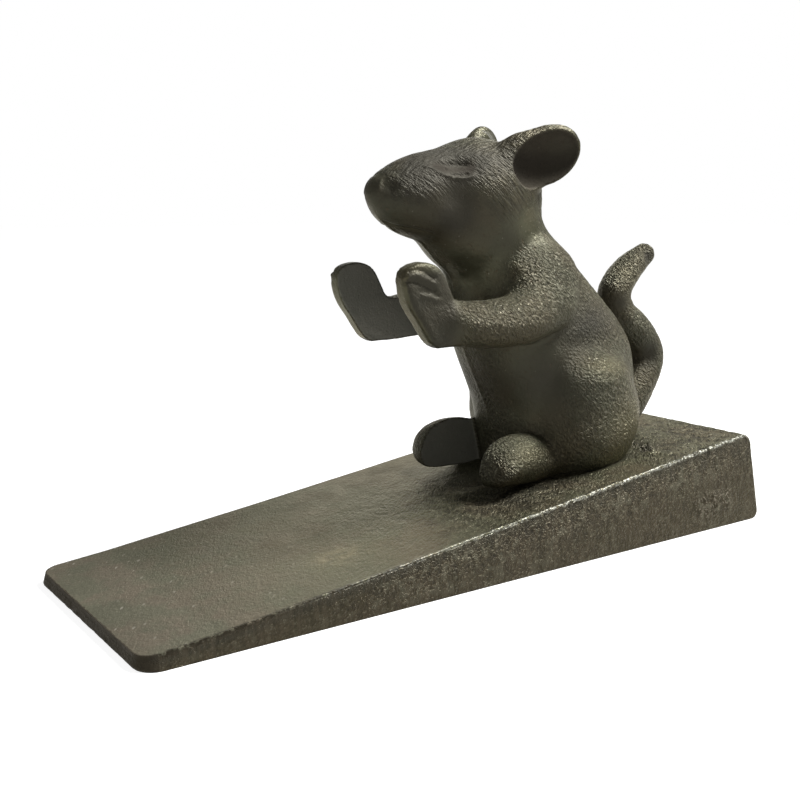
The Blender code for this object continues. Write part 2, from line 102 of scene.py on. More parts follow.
BEND_Z = straight_height(BEND_X) - SLOPE_DIP
SEAT_RISE = (BACK_HEIGHT - BEND_Z) / (TOP_BACK_X - BEND_X)


def slope_height(x):
    """Height of the sloping top: two straight lines that meet a little low, at the bend."""
    bare_rise = (BEND_Z - TIP_HEIGHT) / (BEND_X - TOP_TIP_X)
    return BEND_Z + (x - BEND_X) * np.where(x < BEND_X, bare_rise, SEAT_RISE)


def rounding(depth, radius):
    """How far a rounded edge draws back, at a depth from the edge: a quarter circle."""
    inset = np.clip(radius - depth, 0.0, radius)
    return radius - np.sqrt(radius ** 2 - inset ** 2)


def tip_lift(x):
    """The small lift that the top has close to the tip."""
    return TIP_LIFT * rise(x, TIP_X + LIFT_LENGTH, TIP_X)


def half_width(x, z):
    """Half the block's width: it tapers in plan, and with the draft."""
    share = (x - TIP_X) / (BACK_X - TIP_X)
    return (TIP_WIDTH + share * (BACK_WIDTH - TIP_WIDTH)) / 2.0 - z * SIDE_DRAFT


def wedge_point(along, across, up):
    """Point of the block for three shares, each from 0 to 1 (across from -1 to 1).

    The length runs between the two leaning ends, whose edges are rounded. The width tapers in
    plan and with the draft, and near each end the half width falls along a quarter circle.
    """
    z_tip = up * TIP_HEIGHT
    z_back = up * BACK_HEIGHT
    x_tip = TIP_X + np.clip(z_tip - TIP_ROUND, 0.0, None) * TIP_STEEP + rounding(z_tip, TIP_ROUND)
    x_back = (BACK_X - z_back * BACK_LEAN - rounding(z_back, BACK_ROUND_LOW)
              - rounding(BACK_HEIGHT - z_back, BACK_ROUND_HIGH))
    x = x_tip + along * (x_back - x_tip)
    z = (z_tip + along * (z_back - z_tip)) * slope_height(x) / straight_height(x)
    z = z + up * tip_lift(x)
    corner = np.where(x < 0.0, TIP_CORNER, BACK_CORNER)
    shrink = rounding(np.minimum(x - x_tip, x_back - x), corner)
    return np.stack(np.broadcast_arrays(x, across * (half_width(x, z) - shrink), z), axis=-1)


WELD = 0.004


def mesh_of_grids(name, grids, sole):
    """A mesh of point grids in millimetres, welded where they meet, with its sole as one face."""
    points = []
    quads = []
    start = 0
    for grid in grids:
        rows, columns = grid.shape[:2]
        index = start + np.arange(rows * columns).reshape(rows, columns)
        points.append(grid.reshape(-1, 3))
        quads.append(np.stack([index[:-1, :-1], index[:-1, 1:], index[1:, 1:], index[1:, :-1]],
                              axis=-1).reshape(-1, 4))
        start += rows * columns
    mesh = bpy.data.meshes.new(name)
    mesh.from_pydata((np.concatenate(points) * MM).tolist(), [],
                     np.concatenate(quads).tolist() + [sole.tolist()])
    bm = bmesh.new()
    bm.from_mesh(mesh)
    bmesh.ops.remove_doubles(bm, verts=bm.verts, dist=WELD * MM)
    bmesh.ops.recalc_face_normals(bm, faces=bm.faces)
    bm.to_mesh(mesh)
    bm.free()
    return mesh


def vertex_places(mesh):
    """The mesh's points and normals as arrays, points in millimetres."""
    found = []
    for name in ("co", "normal"):
        values = np.empty(len(mesh.vertices) * 3, dtype=np.float32)
        mesh.vertices.foreach_get(name, values)
        found.append(values.reshape(-1, 3).astype(np.float64))
    return found[0] / MM, found[1]


def set_places(mesh, places):
    """Move the points to new places, given in millimetres."""
    mesh.vertices.foreach_set("co", (places * MM).astype(np.float32).ravel())
    mesh.update()


LATTICE = 32


def grain(places, size, seed):
    """Smooth noise from -1 to 1: random values on a lattice, blended by eased steps between."""
    lattice = np.random.default_rng(seed).uniform(-1.0, 1.0, (LATTICE,) * 3)
    cell = places / np.asarray(size, dtype=float) + 100.0
    base = np.floor(cell).astype(int)
    share = cell - base
    share = share * share * (3.0 - 2.0 * share)
    total = np.zeros(len(places))
    for corner in np.ndindex(2, 2, 2):
        weight = np.abs(1 - np.array(corner) - share).prod(axis=1)
        total += weight * lattice[tuple(((base + corner) % LATTICE).T)]
    return total


def swellings(places, *rows):
    """A sum of bells of the distance; each has its height, its centre and its width, which is
    one number or three."""
    return sum(height * np.exp(-(((places - centre) / width) ** 2).sum(axis=1))
               for height, centre, width in rows)


def shown(name, mesh, slot_name, *nodes):
    """Put a finished mesh into the scene as a piece that stands for CAD nodes."""
    piece = bpy.data.objects.new(name, mesh)
    scene.collection.objects.link(piece)
    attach(piece, "root")
    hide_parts(*nodes)


def store_values(mesh, **values):
    """Keep numbers for each vertex, for the material to read."""
    for name, numbers in values.items():
        layer = mesh.attributes.new(name, "FLOAT", "POINT")
        layer.data.foreach_set("value", numbers.astype(np.float32))


along_x = spread(TIP_X, BACK_X, WEDGE_STEP, TIP_CORNER, 2.0)
along = (along_x[:, None] - TIP_X) / (BACK_X - TIP_X)
across = spread(-BACK_WIDTH / 2.0, BACK_WIDTH / 2.0, WEDGE_STEP, 1.5, 0.5) / (BACK_WIDTH / 2.0)
up = spread(0.0, BACK_HEIGHT, WALL_STEP, 0.5, 1.5) / BACK_HEIGHT
one = np.ones((1, 1))
skin_grids = [wedge_point(along, across[None, :], one), wedge_point(along, -one, up[None, :]),
              wedge_point(along, one, up[None, :]),
              wedge_point(0.0 * one, across[None, :], up[:, None]),
              wedge_point(one, across[None, :], up[:, None])]
starts = np.cumsum([0] + [grid.shape[0] * grid.shape[1] for grid in skin_grids])
near_foot, far_foot = (starts[wall] + np.arange(len(along)) * len(up) for wall in (1, 2))
tip_foot, back_foot = (starts[end] + np.arange(len(across)) for end in (3, 4))
wedge_mesh = mesh_of_grids("wedge", skin_grids, np.concatenate(
    [near_foot, back_foot[1:-1], far_foot[::-1], tip_foot[1:-1][::-1]]))


def top_height(x):
    """Height of the sloping top with its small lift close to the tip."""
    return slope_height(x) + tip_lift(x)


def edge_closeness(places):
    """1 on the upper edge of the near wall, falling away within a millimetre."""
    x, y, z = places.T
    top = slope_height(x)
    inward = np.clip(half_width(x, top) + y, 0.0, None)
    width = np.where(x < -20.0, 0.55, 0.40)
    return np.exp(-(np.hypot(inward, np.clip(top - z, 0.0, None)) / width) ** 2)


def grittiness(places):
    """How coarse the sand was: smooth at the tip, rough beside and behind the mouse, and rough
    on the walls below their upper edge."""
    x, y, z = places.T
    below = np.clip(slope_height(x) - z, 0.0, None)
    beside = np.exp(-((x - 14.0) / 24.0) ** 2 - ((y + 12.0) / 18.0) ** 2)
    behind = rise(x, 38.0, 48.0) * np.clip((10.0 - y) / 22.0, 0.4, 1.0)
    top = 0.10 + 0.90 * np.maximum(beside, behind)
    wall = (0.35 + 0.65 * np.exp(-(below / 6.0) ** 2)) * np.clip((x + 60.0) / 50.0, 0.3, 1.0)
    return np.where(below > 0.3, wall, top)


def sand_grain(places):
    """Grain of the sand, from -1 to 1; the skin's own height is left out near the top, so that
    it's the same before and after the skin is moved."""
    x, y, z = places.T
    top = slope_height(x)
    level = np.where(top - z < 0.8, top, z)
    flat = np.stack([x, y, level], axis=-1)
    return 0.7 * grain(flat, 0.85, 11) + 0.3 * grain(flat, 1.8, 12)


# Single lumps and pits of the wedge's skin, and the places where crumbs lie.
LUMPS = (
    (-0.45, (57.3, -25.8, 17.7), 0.7), (-0.30, (44.5, -27.5, 8.7), 0.6),
    (0.22, (52.1, -26.9, 14.1), 0.6), (0.25, (65.7, -27.6, 11.5), 0.5),
    (0.22, (69, -28, 9.9), 0.5), (0.22, (39.4, -26.6, 13.8), 0.5))
CRUMBS = ((51, -10, 16.9), (50.6, -13.5, 16.9), (50, -17, 16.9), (55.6, -28.3, 5.2),
          (59, -28.3, 5.8), (63, -28.3, 6.4))


def crumbling(places):
    """1 where the sand broke away and left crumbs of iron, falling away round it."""
    return np.clip(swellings(places, *[(1.5, place, 2.2) for place in CRUMBS]), 0.0, 1.0)


def wedge_relief(places):
    """How far the cast skin stands out, in millimetres.

    Sandy grain everywhere, upright streaks on the walls, a slow waviness, a few lumps where the
    sand broke away, and a ragged bead along the near upper edge.
    """
    x, y, z = places.T
    below = np.clip(top_height(x) - z, 0.0, None)
    on_wall = rise(below, 0.0, 0.6)
    under_edge = np.exp(-((below - 2.2) / 2.0) ** 2) * on_wall
    sand = grittiness(places) * (0.17 - 0.04 * on_wall) * sand_grain(places)
    crumbs = crumbling(places) * np.clip(2.2 * grain(places, 1.0, 19) - 0.1, 0.0, 1.0)
    streaks = 0.03 * grain(places, (0.9, 3.0, 7.0), 13) + 0.02 * grain(places, (0.6, 2.0, 3.0), 14)
    waves = 0.035 * grain(places, 13.0, 15)
    ragged = 0.55 + 1.0 * grain(places, 0.8, 16) + 0.45 * grain(places, 4.0, 17)
    bead = 0.40 * np.clip(ragged, 0.0, 1.7) * edge_closeness(places)
    bead *= np.clip((x + 45.0) / 60.0, 0.15, 1.0)
    pits = -0.16 * under_edge * np.clip(grain(places, 1.1, 18) * 2.0 - 0.5, 0.0, 1.0)
    relief = sand + streaks * on_wall + waves + bead + pits + (1.0 - 0.45 * on_wall) * crumbs
    relief += swellings(places, *LUMPS)
    return relief * rise(z, 0.0, 0.4)


places, normals = vertex_places(wedge_mesh)
stand = wedge_relief(places)
set_places(wedge_mesh, places + normals * stand[:, None])

PLATE = 4.0
SIDE_WALL = 4.2
BACK_WALL = 5.0
HOLLOW_START = TIP_X + 60.2
HOLLOW_CORNER = 3.0
SCREW_SPREAD = 9.5
SCREW_X = 33.0
BOSS_RADIUS = 5.6
BOSS_DEPTH = 7.2
HOLE_RADIUS = 2.3


def hollow_tool():
    """A tapered block the shape of the hollow, its upright corners rounded."""
    bm = bmesh.new()
    bmesh.ops.create_cube(bm, size=2.0)
    for vertex in bm.verts:
        back, top, side = vertex.co.x > 0, vertex.co.z > 0, math.copysign(1.0, vertex.co.y)
        x = BACK_X - BACK_WALL - (BACK_HEIGHT * SIDE_DRAFT if top else 0.0)
        if not back:
            x = HOLLOW_START
        z = float(slope_height(x)) - PLATE if top else -PLATE
        vertex.co = (x * MM, side * (half_width(x, z) - SIDE_WALL) * MM, z * MM)
    upright = [edge for edge in bm.edges
               if abs(edge.verts[0].co.z - edge.verts[1].co.z) > 2.0 * MM
               and abs(edge.verts[0].co.x - edge.verts[1].co.x) < 20.0 * MM]
    bmesh.ops.bevel(bm, geom=upright, offset=HOLLOW_CORNER * MM, segments=5, profile=0.5,
                    affect="EDGES", clamp_overlap=True)
    return tool_object("hollow_tool", bm)


def tool_object(name, bm):
    mesh = bpy.data.meshes.new(name)
    bm.to_mesh(mesh)
    bm.free()
    tool = bpy.data.objects.new(name, mesh)
    scene.collection.objects.link(tool)
    return tool


def rod(bm, radius, start, length, turn=None):
    """A closed round rod from its start point upward, or along the turned axis."""
    matrix = Matrix.Translation(Vector(start) * MM)
    if turn is not None:
        matrix = matrix @ turn
    matrix = matrix @ Matrix.Translation((0.0, 0.0, length * MM / 2.0))
    bmesh.ops.create_cone(bm, cap_ends=True, segments=48, radius1=radius * MM,
                          radius2=radius * MM, depth=length * MM, matrix=matrix)


def with_modifiers(mesh, *modifiers):
    """The mesh as its modifiers leave it; each has its name, its kind and its settings."""
    holder = bpy.data.objects.new("holder", mesh)
    scene.collection.objects.link(holder)
    for name, kind, settings in modifiers:
        modifier = holder.modifiers.new(name, kind)
        for setting, value in settings.items():
            setattr(modifier, setting, value)
    depsgraph = bpy.context.evaluated_depsgraph_get()
    result = bpy.data.meshes.new_from_object(holder.evaluated_get(depsgraph))
    result.name = mesh.name
    bpy.data.objects.remove(holder, do_unlink=True)
    return result


def cut_by(mesh, *tools):
    """The mesh less each tool in turn, by exact cuts; the tools are used up."""
    result = with_modifiers(mesh, *[(tool.name, "BOOLEAN", {
        "operation": "DIFFERENCE", "solver": "EXACT", "object": tool}) for tool in tools])
    for tool in tools:
        bpy.data.objects.remove(tool, do_unlink=True)
    return result


boss_face = float(slope_height(SCREW_X)) - BOSS_DEPTH
bosses = bmesh.new()
holes = bmesh.new()
for side in (-1.0, 1.0):
    rod(bosses, BOSS_RADIUS, (SCREW_X, side * SCREW_SPREAD, boss_face), BACK_HEIGHT)
    rod(holes, HOLE_RADIUS, (SCREW_X, side * SCREW_SPREAD, -1.0), 2.0 * BACK_HEIGHT)
hollow = hollow_tool()
hollow.data = cut_by(hollow.data, tool_object("bosses", bosses))
wedge_mesh = cut_by(wedge_mesh, hollow, tool_object("holes", holes))

CORNER_X = TIP_X + TIP_STEEP * (TIP_HEIGHT - TIP_ROUND) + TIP_CORNER
CORNER_Y = TIP_WIDTH / 2.0 - 0.4 - TIP_CORNER
places, normals = vertex_places(wedge_mesh)
x, y, z = places.T
below = np.clip(top_height(x) - z, 0.0, None)
# Painted shadow: a dark band on the near wall just below its upper edge, under the bead.
under = np.exp(-((below - 1.1) / 0.8) ** 2) * (y < 0.0)
# Dirt and painted shade close round the mouse's seat, weaker between and in front of the feet.
beside = np.hypot(np.clip(np.abs(x - 30.0) - 24.0, 0.0, None),
                  np.clip(np.abs(y) - 16.0, 0.0, None))
seat_dirt = 0.75 * np.exp(-(beside / 2.0) ** 2)
seat_dirt *= 1.0 - 0.85 * np.exp(-(y / 9.0) ** 2) * rise(x, 21.0, 16.0)
# Painted shadow on the slope below the near foot.
foot_dirt = np.exp(-((x - 9.5) / 4.5) ** 2 - ((y + 16.0) / 6.5) ** 2)
from_corner = np.hypot(np.clip(CORNER_X - x, 0.0, None),
                       np.clip(np.abs(y) - CORNER_Y, 0.0, None))
store_values(
    wedge_mesh,
    wall=rise(below, 0.0, 0.5),
    arris=edge_closeness(places) * rise(x, -52.0, 23.0),
    # Paler on the top towards the tip: partly wear, partly a painted sheen.
    worn=rise(x, -30.0, -65.0) * (below < 0.3),
    grit=grittiness(places),
    fringe=np.clip(1.4 * edge_closeness(places) * rise(x, -12.0, -27.0), 0.0, 1.0),
    # The painted shadows under the bead and the near foot, with the dirt and shade round the seat.
    dirt=np.maximum(0.9 * under, np.maximum(seat_dirt, foot_dirt)),
    # Painted light: the slope between the feet made paler, against the figure's shadow there.
    dust=np.exp(-((x - 10.5) / 6.0) ** 2 - ((y - 2.0) / 8.0) ** 2),
    crumbs=crumbling(places),
    sand=sand_grain(places),
    front=rise(TIP_CORNER - from_corner, 0.9, 0.0) * rise(x, TIP_X + 4.0, TIP_X + 3.0),
    smear=np.exp(-((x + 31.0) / 5.0) ** 2 - ((y + 13.0) / 3.2) ** 2))


def node(tree, kind, links=None, **values):
    """Add a node; values set its properties or sockets, links join other nodes' outputs."""
    made = tree.nodes.new(kind)
    for name, value in values.items():
        setattr(made, name, value)
    for name, source in (links or {}).items():
        target = made.inputs[name]
        if isinstance(source, bpy.types.NodeSocket):
            tree.links.new(source, target)
        else:
            target.default_value = source
    return made


def blend_colours(tree, share, first, second):
    """First colour where share is 0 and second where it is 1; plain colours have three parts."""
    mix = node(tree, "ShaderNodeMix", data_type="RGBA")
    for index, source in ((0, share), (6, first), (7, second)):
        if isinstance(source, bpy.types.NodeSocket):
            tree.links.new(source, mix.inputs[index])
        else:
            mix.inputs[index].default_value = (*source, 1.0)
    return mix.outputs[2]


def ramp(tree, value, low, high, bottom=0.0, top=1.0):
    """Bottom where the value is below low, top above high, straight between."""
    return node(tree, "ShaderNodeMapRange", {"Value": value, "From Min": low, "From Max": high,
                                             "To Min": bottom, "To Max": top}).outputs[0]


def maths(tree, operation, *terms):
    return node(tree, "ShaderNodeMath", dict(enumerate(terms)), operation=operation).outputs[0]


def product(tree, first, *others):
    for other in others:
        first = maths(tree, "MULTIPLY", first, other)
    return first


def total(tree, first, *others):
    for other in others:
        first = maths(tree, "ADD", first, other)
    return first


def rest_of(tree, share):
    return maths(tree, "SUBTRACT", 1.0, share)


def coated(tree, base, *coats):
    """The base colour under coats, each given as its mask, its share and its colour."""
    for mask, share, colour in coats:
        base = blend_colours(tree, product(tree, mask, share), base, colour)
    return base


def noise(tree, place, size, detail=2.0, rough=0.5, twist=0.0):
    """Noise whose lumps are about size millimetres apart."""
    return node(tree, "ShaderNodeTexNoise", {
        "Vector": place, "Scale": 1000.0 / size, "Detail": detail, "Roughness": rough,
        "Distortion": twist}).outputs[0]


def patches(tree, place, size, detail, rough, low, high):
    """Noise raised to 0 below low and 1 above high."""
    return ramp(tree, noise(tree, place, size, detail, rough), low, high)


def dots(tree, place, size, edge, core):
    """Dots about size millimetres apart: 0 past edge and 1 inside core, as shares of size."""
    cells = node(tree, "ShaderNodeTexVoronoi", {"Vector": place, "Scale": 1000.0 / size})
    return ramp(tree, cells.outputs["Distance"], edge, core)


def mapped(tree, place, **changes):
    """The place turned or scaled."""
    return node(tree, "ShaderNodeMapping", {"Vector": place, **changes}).outputs[0]


def attributes(tree, *names):
    """The values stored with the mesh, one output for each name."""
    return [node(tree, "ShaderNodeAttribute", attribute_name=name).outputs["Fac"]
            for name in names]


def object_place(tree):
    return tree.nodes.new("ShaderNodeTexCoord").outputs["Object"]


def source_of(target):
    """The output that is linked to this input."""
    return target.links[0].from_socket


# Skin of a sand casting: slow patches of two tones, brown where the wax thinned, and fine sand
# grain with pits for the height. Used by the wedge and by the mouse.
sand_skin = bpy.data.node_groups.new("sand_skin", "ShaderNodeTree")
for name, kind, way in (("Dark", "Color", "INPUT"), ("Light", "Color", "INPUT"),
                        ("Brown", "Color", "INPUT"), ("Brown Share", "Float", "INPUT"),
                        ("Colour", "Color", "OUTPUT"), ("Height", "Float", "OUTPUT"),
                        ("Roughness", "Float", "OUTPUT")):
    sand_skin.interface.new_socket(name=name, in_out=way, socket_type="NodeSocket" + kind)
tree = sand_skin
skin_in = tree.nodes.new("NodeGroupInput").outputs
skin_out = tree.nodes.new("NodeGroupOutput").inputs
place = object_place(tree)
patch = noise(tree, place, 5.0, 4.0, 0.6, 0.4)
speck = noise(tree, place, 0.9, 3.0, 0.65)
pits = ramp(tree, speck, 0.28, 0.42)
bright = product(tree, dots(tree, place, 1.7, 0.13, 0.06), ramp(tree, patch, 0.45, 0.60))
tone = blend_colours(tree, ramp(tree, patch, 0.35, 0.68), skin_in["Dark"], skin_in["Light"])
tone = coated(tree, tone, (patches(tree, place, 14.0, 3.0, 0.55, 0.44, 0.60),
                           skin_in["Brown Share"], skin_in["Brown"]))
tone = blend_colours(tree, pits, skin_in["Brown"], tone)
tone = coated(tree, tone, (bright, 0.6, (0.36, 0.34, 0.26)))
tree.links.new(tone, skin_out["Colour"])
tree.links.new(total(tree, product(tree, speck, 0.6),
                     product(tree, noise(tree, place, 0.5, 2.0, 0.6), 0.4),
                     product(tree, pits, 0.25), product(tree, bright, 0.12)), skin_out["Height"])
tree.links.new(ramp(tree, patch, 0.3, 0.7, 0.34, 0.46), skin_out["Roughness"])


def plain_material(name, **values):
    """A material, its node tree and its shader's inputs, with some of these set."""
    material = bpy.data.materials.new(name)
    material.use_nodes = True
    shader = material.node_tree.nodes["Principled BSDF"].inputs
    for part, value in values.items():
        shader[part].default_value = value
    return material, material.node_tree, shader


def iron_material(name, dark, light, brown, brown_share, metallic):
    """Waxed cast iron: the sand skin's colour, roughness and height on a plain metal shader."""
    material, tree, shader = plain_material(name, Metallic=metallic)
    shader["Specular Tint"].default_value = (1.0, 0.95, 0.76, 1.0)
    skin = tree.nodes.new("ShaderNodeGroup")
    skin.node_tree = sand_skin
    for part, colour in (("Dark", dark), ("Light", light), ("Brown", brown)):
        skin.inputs[part].default_value = (*colour, 1.0)
    skin.inputs["Brown Share"].default_value = brown_share
    tree.links.new(skin.outputs["Colour"], shader["Base Color"])
    tree.links.new(skin.outputs["Roughness"], shader["Roughness"])
    bump = node(tree, "ShaderNodeBump", {"Height": skin.outputs["Height"], "Strength": 1.0})
    tree.links.new(bump.outputs["Normal"], shader["Normal"])
    return material, tree, shader, bump.inputs


wedge_iron, tree, shader, bump = iron_material(
    "wedge_iron", (0.085, 0.083, 0.050), (0.118, 0.115, 0.071), (0.116, 0.094, 0.060), 0.75, 0.65)
wall, arris, worn, grit, fringe, dirt, dust, crumbs, sand, front, smear = attributes(
    tree, "wall", "arris", "worn", "grit", "fringe", "dirt", "dust", "crumbs", "sand", "front",
    "smear")
place = object_place(tree)
# Paler colour of the tip's top: partly wear, partly a painted sheen.
rubbed_and_sheen = blend_colours(tree, patches(tree, place, 9.0, 3.0, 0.6, 0.42, 0.58),
                       (0.180, 0.178, 0.130), (0.222, 0.188, 0.145))
turned_place = mapped(tree, place, Rotation=(0.0, 0.0, math.radians(-48.0)))
turned_place = mapped(tree, turned_place, Scale=(0.42, 1.0, 1.0))
grains = noise(tree, turned_place, 0.46, 2.0, 0.6)
nicks = product(tree, dots(tree, turned_place, 1.9, 0.16, 0.08), worn,
                patches(tree, place, 6.0, 2.0, 0.6, 0.38, 0.54))
# Painted shade in the low places of the sand grain, by its own height.
low_grains = product(tree, ramp(tree, sand, -0.02, -0.30), grit)
dark_grains = product(tree, ramp(tree, grains, 0.46, 0.40), grit)
specks = product(tree, ramp(tree, grains, 0.59, 0.67), total(tree, grit, 0.06))
# Painted highlight on the high places of the sand grain.
peaks = product(tree, ramp(tree, sand, 0.12, 0.36), maths(tree, "MAXIMUM", grit, crumbs))
tops = product(tree, ramp(tree, grains, 0.52, 0.62), crumbs)
ragged = product(tree, noise(tree, place, 1.1, 3.0, 0.65), 0.8)
front = ramp(tree, total(tree, front, ragged), 1.08, 1.22)
fringe = product(tree, fringe, patches(tree, place, 1.3, 3.0, 0.7, 0.36, 0.52))
upright = mapped(tree, place, Scale=(1.0, 0.4, 0.12))
streaks = product(tree, patches(tree, upright, 0.8, 3.0, 0.6, 0.40, 0.66), wall,
                  rest_of(tree, front))
creamy = product(tree, smear, patches(tree, place, 2.2, 3.0, 0.6, 0.35, 0.62))
# The bead painted pale grey: a painted highlight along the near upper edge.
bead = product(tree, arris, patches(tree, place, 0.6, 3.0, 0.65, 0.44, 0.54))
base = coated(
    tree, source_of(shader["Base Color"]), (worn, 0.75, rubbed_and_sheen),
    (wall, 0.88, (0.030, 0.023, 0.013)), (nicks, 0.8, (0.50, 0.47, 0.39)),
    (low_grains, 0.75, (0.018, 0.016, 0.012)), (dark_grains, 0.9, (0.010, 0.009, 0.007)),
    (specks, 0.6, (0.20, 0.185, 0.135)), (peaks, 0.35, (0.17, 0.165, 0.12)),
    # Painted shadow under the bead and the near foot, with dirt and shade round the seat.
    (tops, 0.6, (0.26, 0.23, 0.18)), (dirt, 0.75, (0.026, 0.024, 0.017)),
    # Painted light on the slope between the feet.
    (dust, 0.38, (0.24, 0.23, 0.18)), (front, 0.97, (0.026, 0.020, 0.012)),
    (fringe, 1.0, (0.020, 0.016, 0.010)), (streaks, 0.22, (0.110, 0.088, 0.060)),
    (creamy, 0.6, (0.27, 0.23, 0.14)), (bead, 1.0, (0.30, 0.30, 0.26)))
tree.links.new(base, shader["Base Color"])
coarse = product(tree, total(tree, grit, 0.02), total(tree, ramp(tree, grains, 0.36, 0.66), specks))
skin_share = maths(tree, "MULTIPLY_ADD", grit, 0.5, 0.25)
skin_height = product(tree, source_of(bump["Height"]), skin_share)
tree.links.new(total(tree, coarse, skin_height), bump["Height"])
bump["Distance"].default_value = 0.22 * MM
dull = total(tree, source_of(shader["Roughness"]), product(tree, front, 0.40))
tree.links.new(dull, shader["Roughness"])
tree.links.new(maths(tree, "MULTIPLY_ADD", front, -0.50, 0.65), shader["Metallic"])
wedge_mesh.materials.clear()
wedge_mesh.materials.append(wedge_iron)
wedge_mesh.shade_smooth()
wedge_mesh.set_sharp_from_angle(angle=math.radians(50.0))

# The bead along the near edge stays soft, so the edges close to it aren't sharp.
ends = np.empty(len(wedge_mesh.edges) * 2, dtype=np.int32)
wedge_mesh.edges.foreach_get("vertices", ends)
sharp_marks = wedge_mesh.attributes["sharp_edge"].data
sharp = np.empty(len(wedge_mesh.edges), dtype=bool)
sharp_marks.foreach_get("value", sharp)
sharp &= edge_closeness(places)[ends].reshape(-1, 2).min(axis=1) < 0.05
sharp_marks.foreach_set("value", sharp)
shown("wedge_casting", wedge_mesh, "wedge_iron", "wedge_base")


# The mouse. Two solid half castings of the same iron meet at the middle plane and sit on the
# slope. Their insides of arms and feet are flat, where the halves of the mould parted; the
# outside is rounded and carries fine strokes of fur.
SEAT_X = 35.0
SEAT_Z = float(slope_height(SEAT_X))
SEAT = np.array([SEAT_X, 0.0, SEAT_Z])
SLOPE = math.atan(SEAT_RISE)
FAR_AWAY = 9.0


def melt(first, second, reach):
    """Smaller of two distances, with a fillet where they are within reach of each other."""
    share = np.clip(0.5 + 0.5 * (second - first) / reach, 0.0, 1.0)
    return second + (first - second) * share - reach * share * (1.0 - share)


def carve(body, tool, reach):
    """The body less the tool, with the lip rounded."""
    return -melt(-body, tool, reach)


def smooth_path(knots, per_span=14):
    """Points on a smooth curve through the knots: each span is a cubic whose end slopes are
    half the step between its neighbours."""
    knots = np.asarray(knots, dtype=float)
    padded = np.vstack([2 * knots[0] - knots[1], knots, 2 * knots[-1] - knots[-2]])
    t = np.linspace(0.0, 1.0, per_span, endpoint=False)[:, None]
    spans = []
    for before, a, b, after in zip(padded, padded[1:], padded[2:], padded[3:]):
        start = (b - before) / 2.0
        end = (after - a) / 2.0
        spans.append((2 * t**3 - 3 * t**2 + 1) * a + (t**3 - 2 * t**2 + t) * start
                     + (3 * t**2 - 2 * t**3) * b + (t**3 - t**2) * end)
    return np.vstack(spans + [knots[-1:]])


def within(places, low, high, measure, beyond=FAR_AWAY):
    """What measure gives for the points inside a box, and beyond for all others."""
    found = np.nonzero(((places > low) & (places < high)).all(axis=1))[0]
    result = np.full(len(places), beyond)
    result[found] = measure(places[found])
    return result


def beside_segment(points, start, end):
    """Each point's distance from a segment, and how far along it the nearest place is."""
    step = end - start
    share = np.clip((points - start) @ step / (step @ step), 0.0, 1.0)
    return np.linalg.norm(points - start - share[:, None] * step, axis=1), share


def ball(places, centre, radii, turn=np.eye(3)):
    """Distance to an ellipsoid, from how far the point's scaled radius is from 1."""
    radii = np.asarray(radii, dtype=float)
    centre = np.asarray(centre, dtype=float)
    reach = radii.max() + 6.0

    def measure(points):
        local = (points - centre) @ turn
        scaled = np.linalg.norm(local / radii, axis=1)
        steep = np.linalg.norm(local / radii ** 2, axis=1)
        return np.minimum(scaled * (scaled - 1.0) / np.maximum(steep, 0.0001), FAR_AWAY)
    return within(places, centre - reach, centre + reach, measure)


def tube(places, knots):
    """Distance to a tube along a smooth path; each knot is x, y, z and the radius there."""
    path = smooth_path(knots)
    reach = path[:, 3].max() + 5.0

    def measure(points):
        best = np.full(len(points), FAR_AWAY)
        for start, end in zip(path, path[1:]):
            away, share = beside_segment(points, start[:3], end[:3])
            best = np.minimum(best, away - start[3] - share * (end[3] - start[3]))
        return best
    return within(places, path[:, :3].min(axis=0) - reach, path[:, :3].max(axis=0) + reach,
                  measure)


# The trunk: in each row a level, and there its middle, half its length and half its width.
TORSO = np.array([
    (-6, 1, 16, 14), (1, 2, 18, 15.5), (7, 2, 19.5, 16.3),
    (12.7, 1.3, 20.1, 16.5), (17.3, 0.2, 21.1, 16), (21.9, -1.1, 22.3, 15.5),
    (26.3, -2.7, 22.8, 15), (31.6, -5.7, 21.7, 14), (39.3, -10.4, 17.9, 12.5),
    (44.9, -13.6, 15, 11.2), (50.9, -18.4, 12.5, 10.8), (55, -19.4, 11, 10.3)])
torso_levels = np.arange(-8.0, 60.0, 0.25)
torso_bell = np.exp(-(np.arange(-16, 17) * 0.25 / 1.6) ** 2)
torso_bell = torso_bell / torso_bell.sum()


def eased(column):
    """A column of the torso's table at every level, with its corners rubbed smooth."""
    straight = np.interp(torso_levels, TORSO[:, 0], TORSO[:, column])
    return np.convolve(np.pad(straight, 16, mode="edge"), torso_bell, mode="valid")


torso_middle, torso_length, torso_width = eased(1), eased(2), eased(3)


def torso(places):
    """Distance to the trunk: at each level an ellipse from the table, capped in the head."""
    x, y, z = places.T
    middle = np.interp(z, torso_levels, torso_middle)
    length = np.interp(z, torso_levels, torso_length)
    width = np.interp(z, torso_levels, torso_width)
    scaled = np.sqrt(((x - middle) / length) ** 2 + (y / width) ** 2)
    round_way = (scaled - 1.0) * np.minimum(length, width)
    return -melt(-round_way, 56.0 - z, 5.0)


def turned(about_z, about_y):
    """Rotation matrix: first about Y, then about Z, angles in degrees."""
    a, b = math.radians(about_z), math.radians(about_y)
    spin_z = np.array([[math.cos(a), -math.sin(a), 0], [math.sin(a), math.cos(a), 0], [0, 0, 1]])
    spin_y = np.array([[math.cos(b), 0, math.sin(b)], [0, 1, 0], [-math.sin(b), 0, math.cos(b)]])
    return spin_z @ spin_y


EAR_TURN = turned(-20.0, -25.0)
EAR_PLACE = np.array([-13.3, -10.5, 66.4])
CUP_SHIFT = EAR_TURN @ np.array([-0.8, -2.2, -0.5])
CUP_RADII = np.array([8.2, 3.6, 5.1])
INNER_FACE = 10.0
PAW_LIFT = 0.5
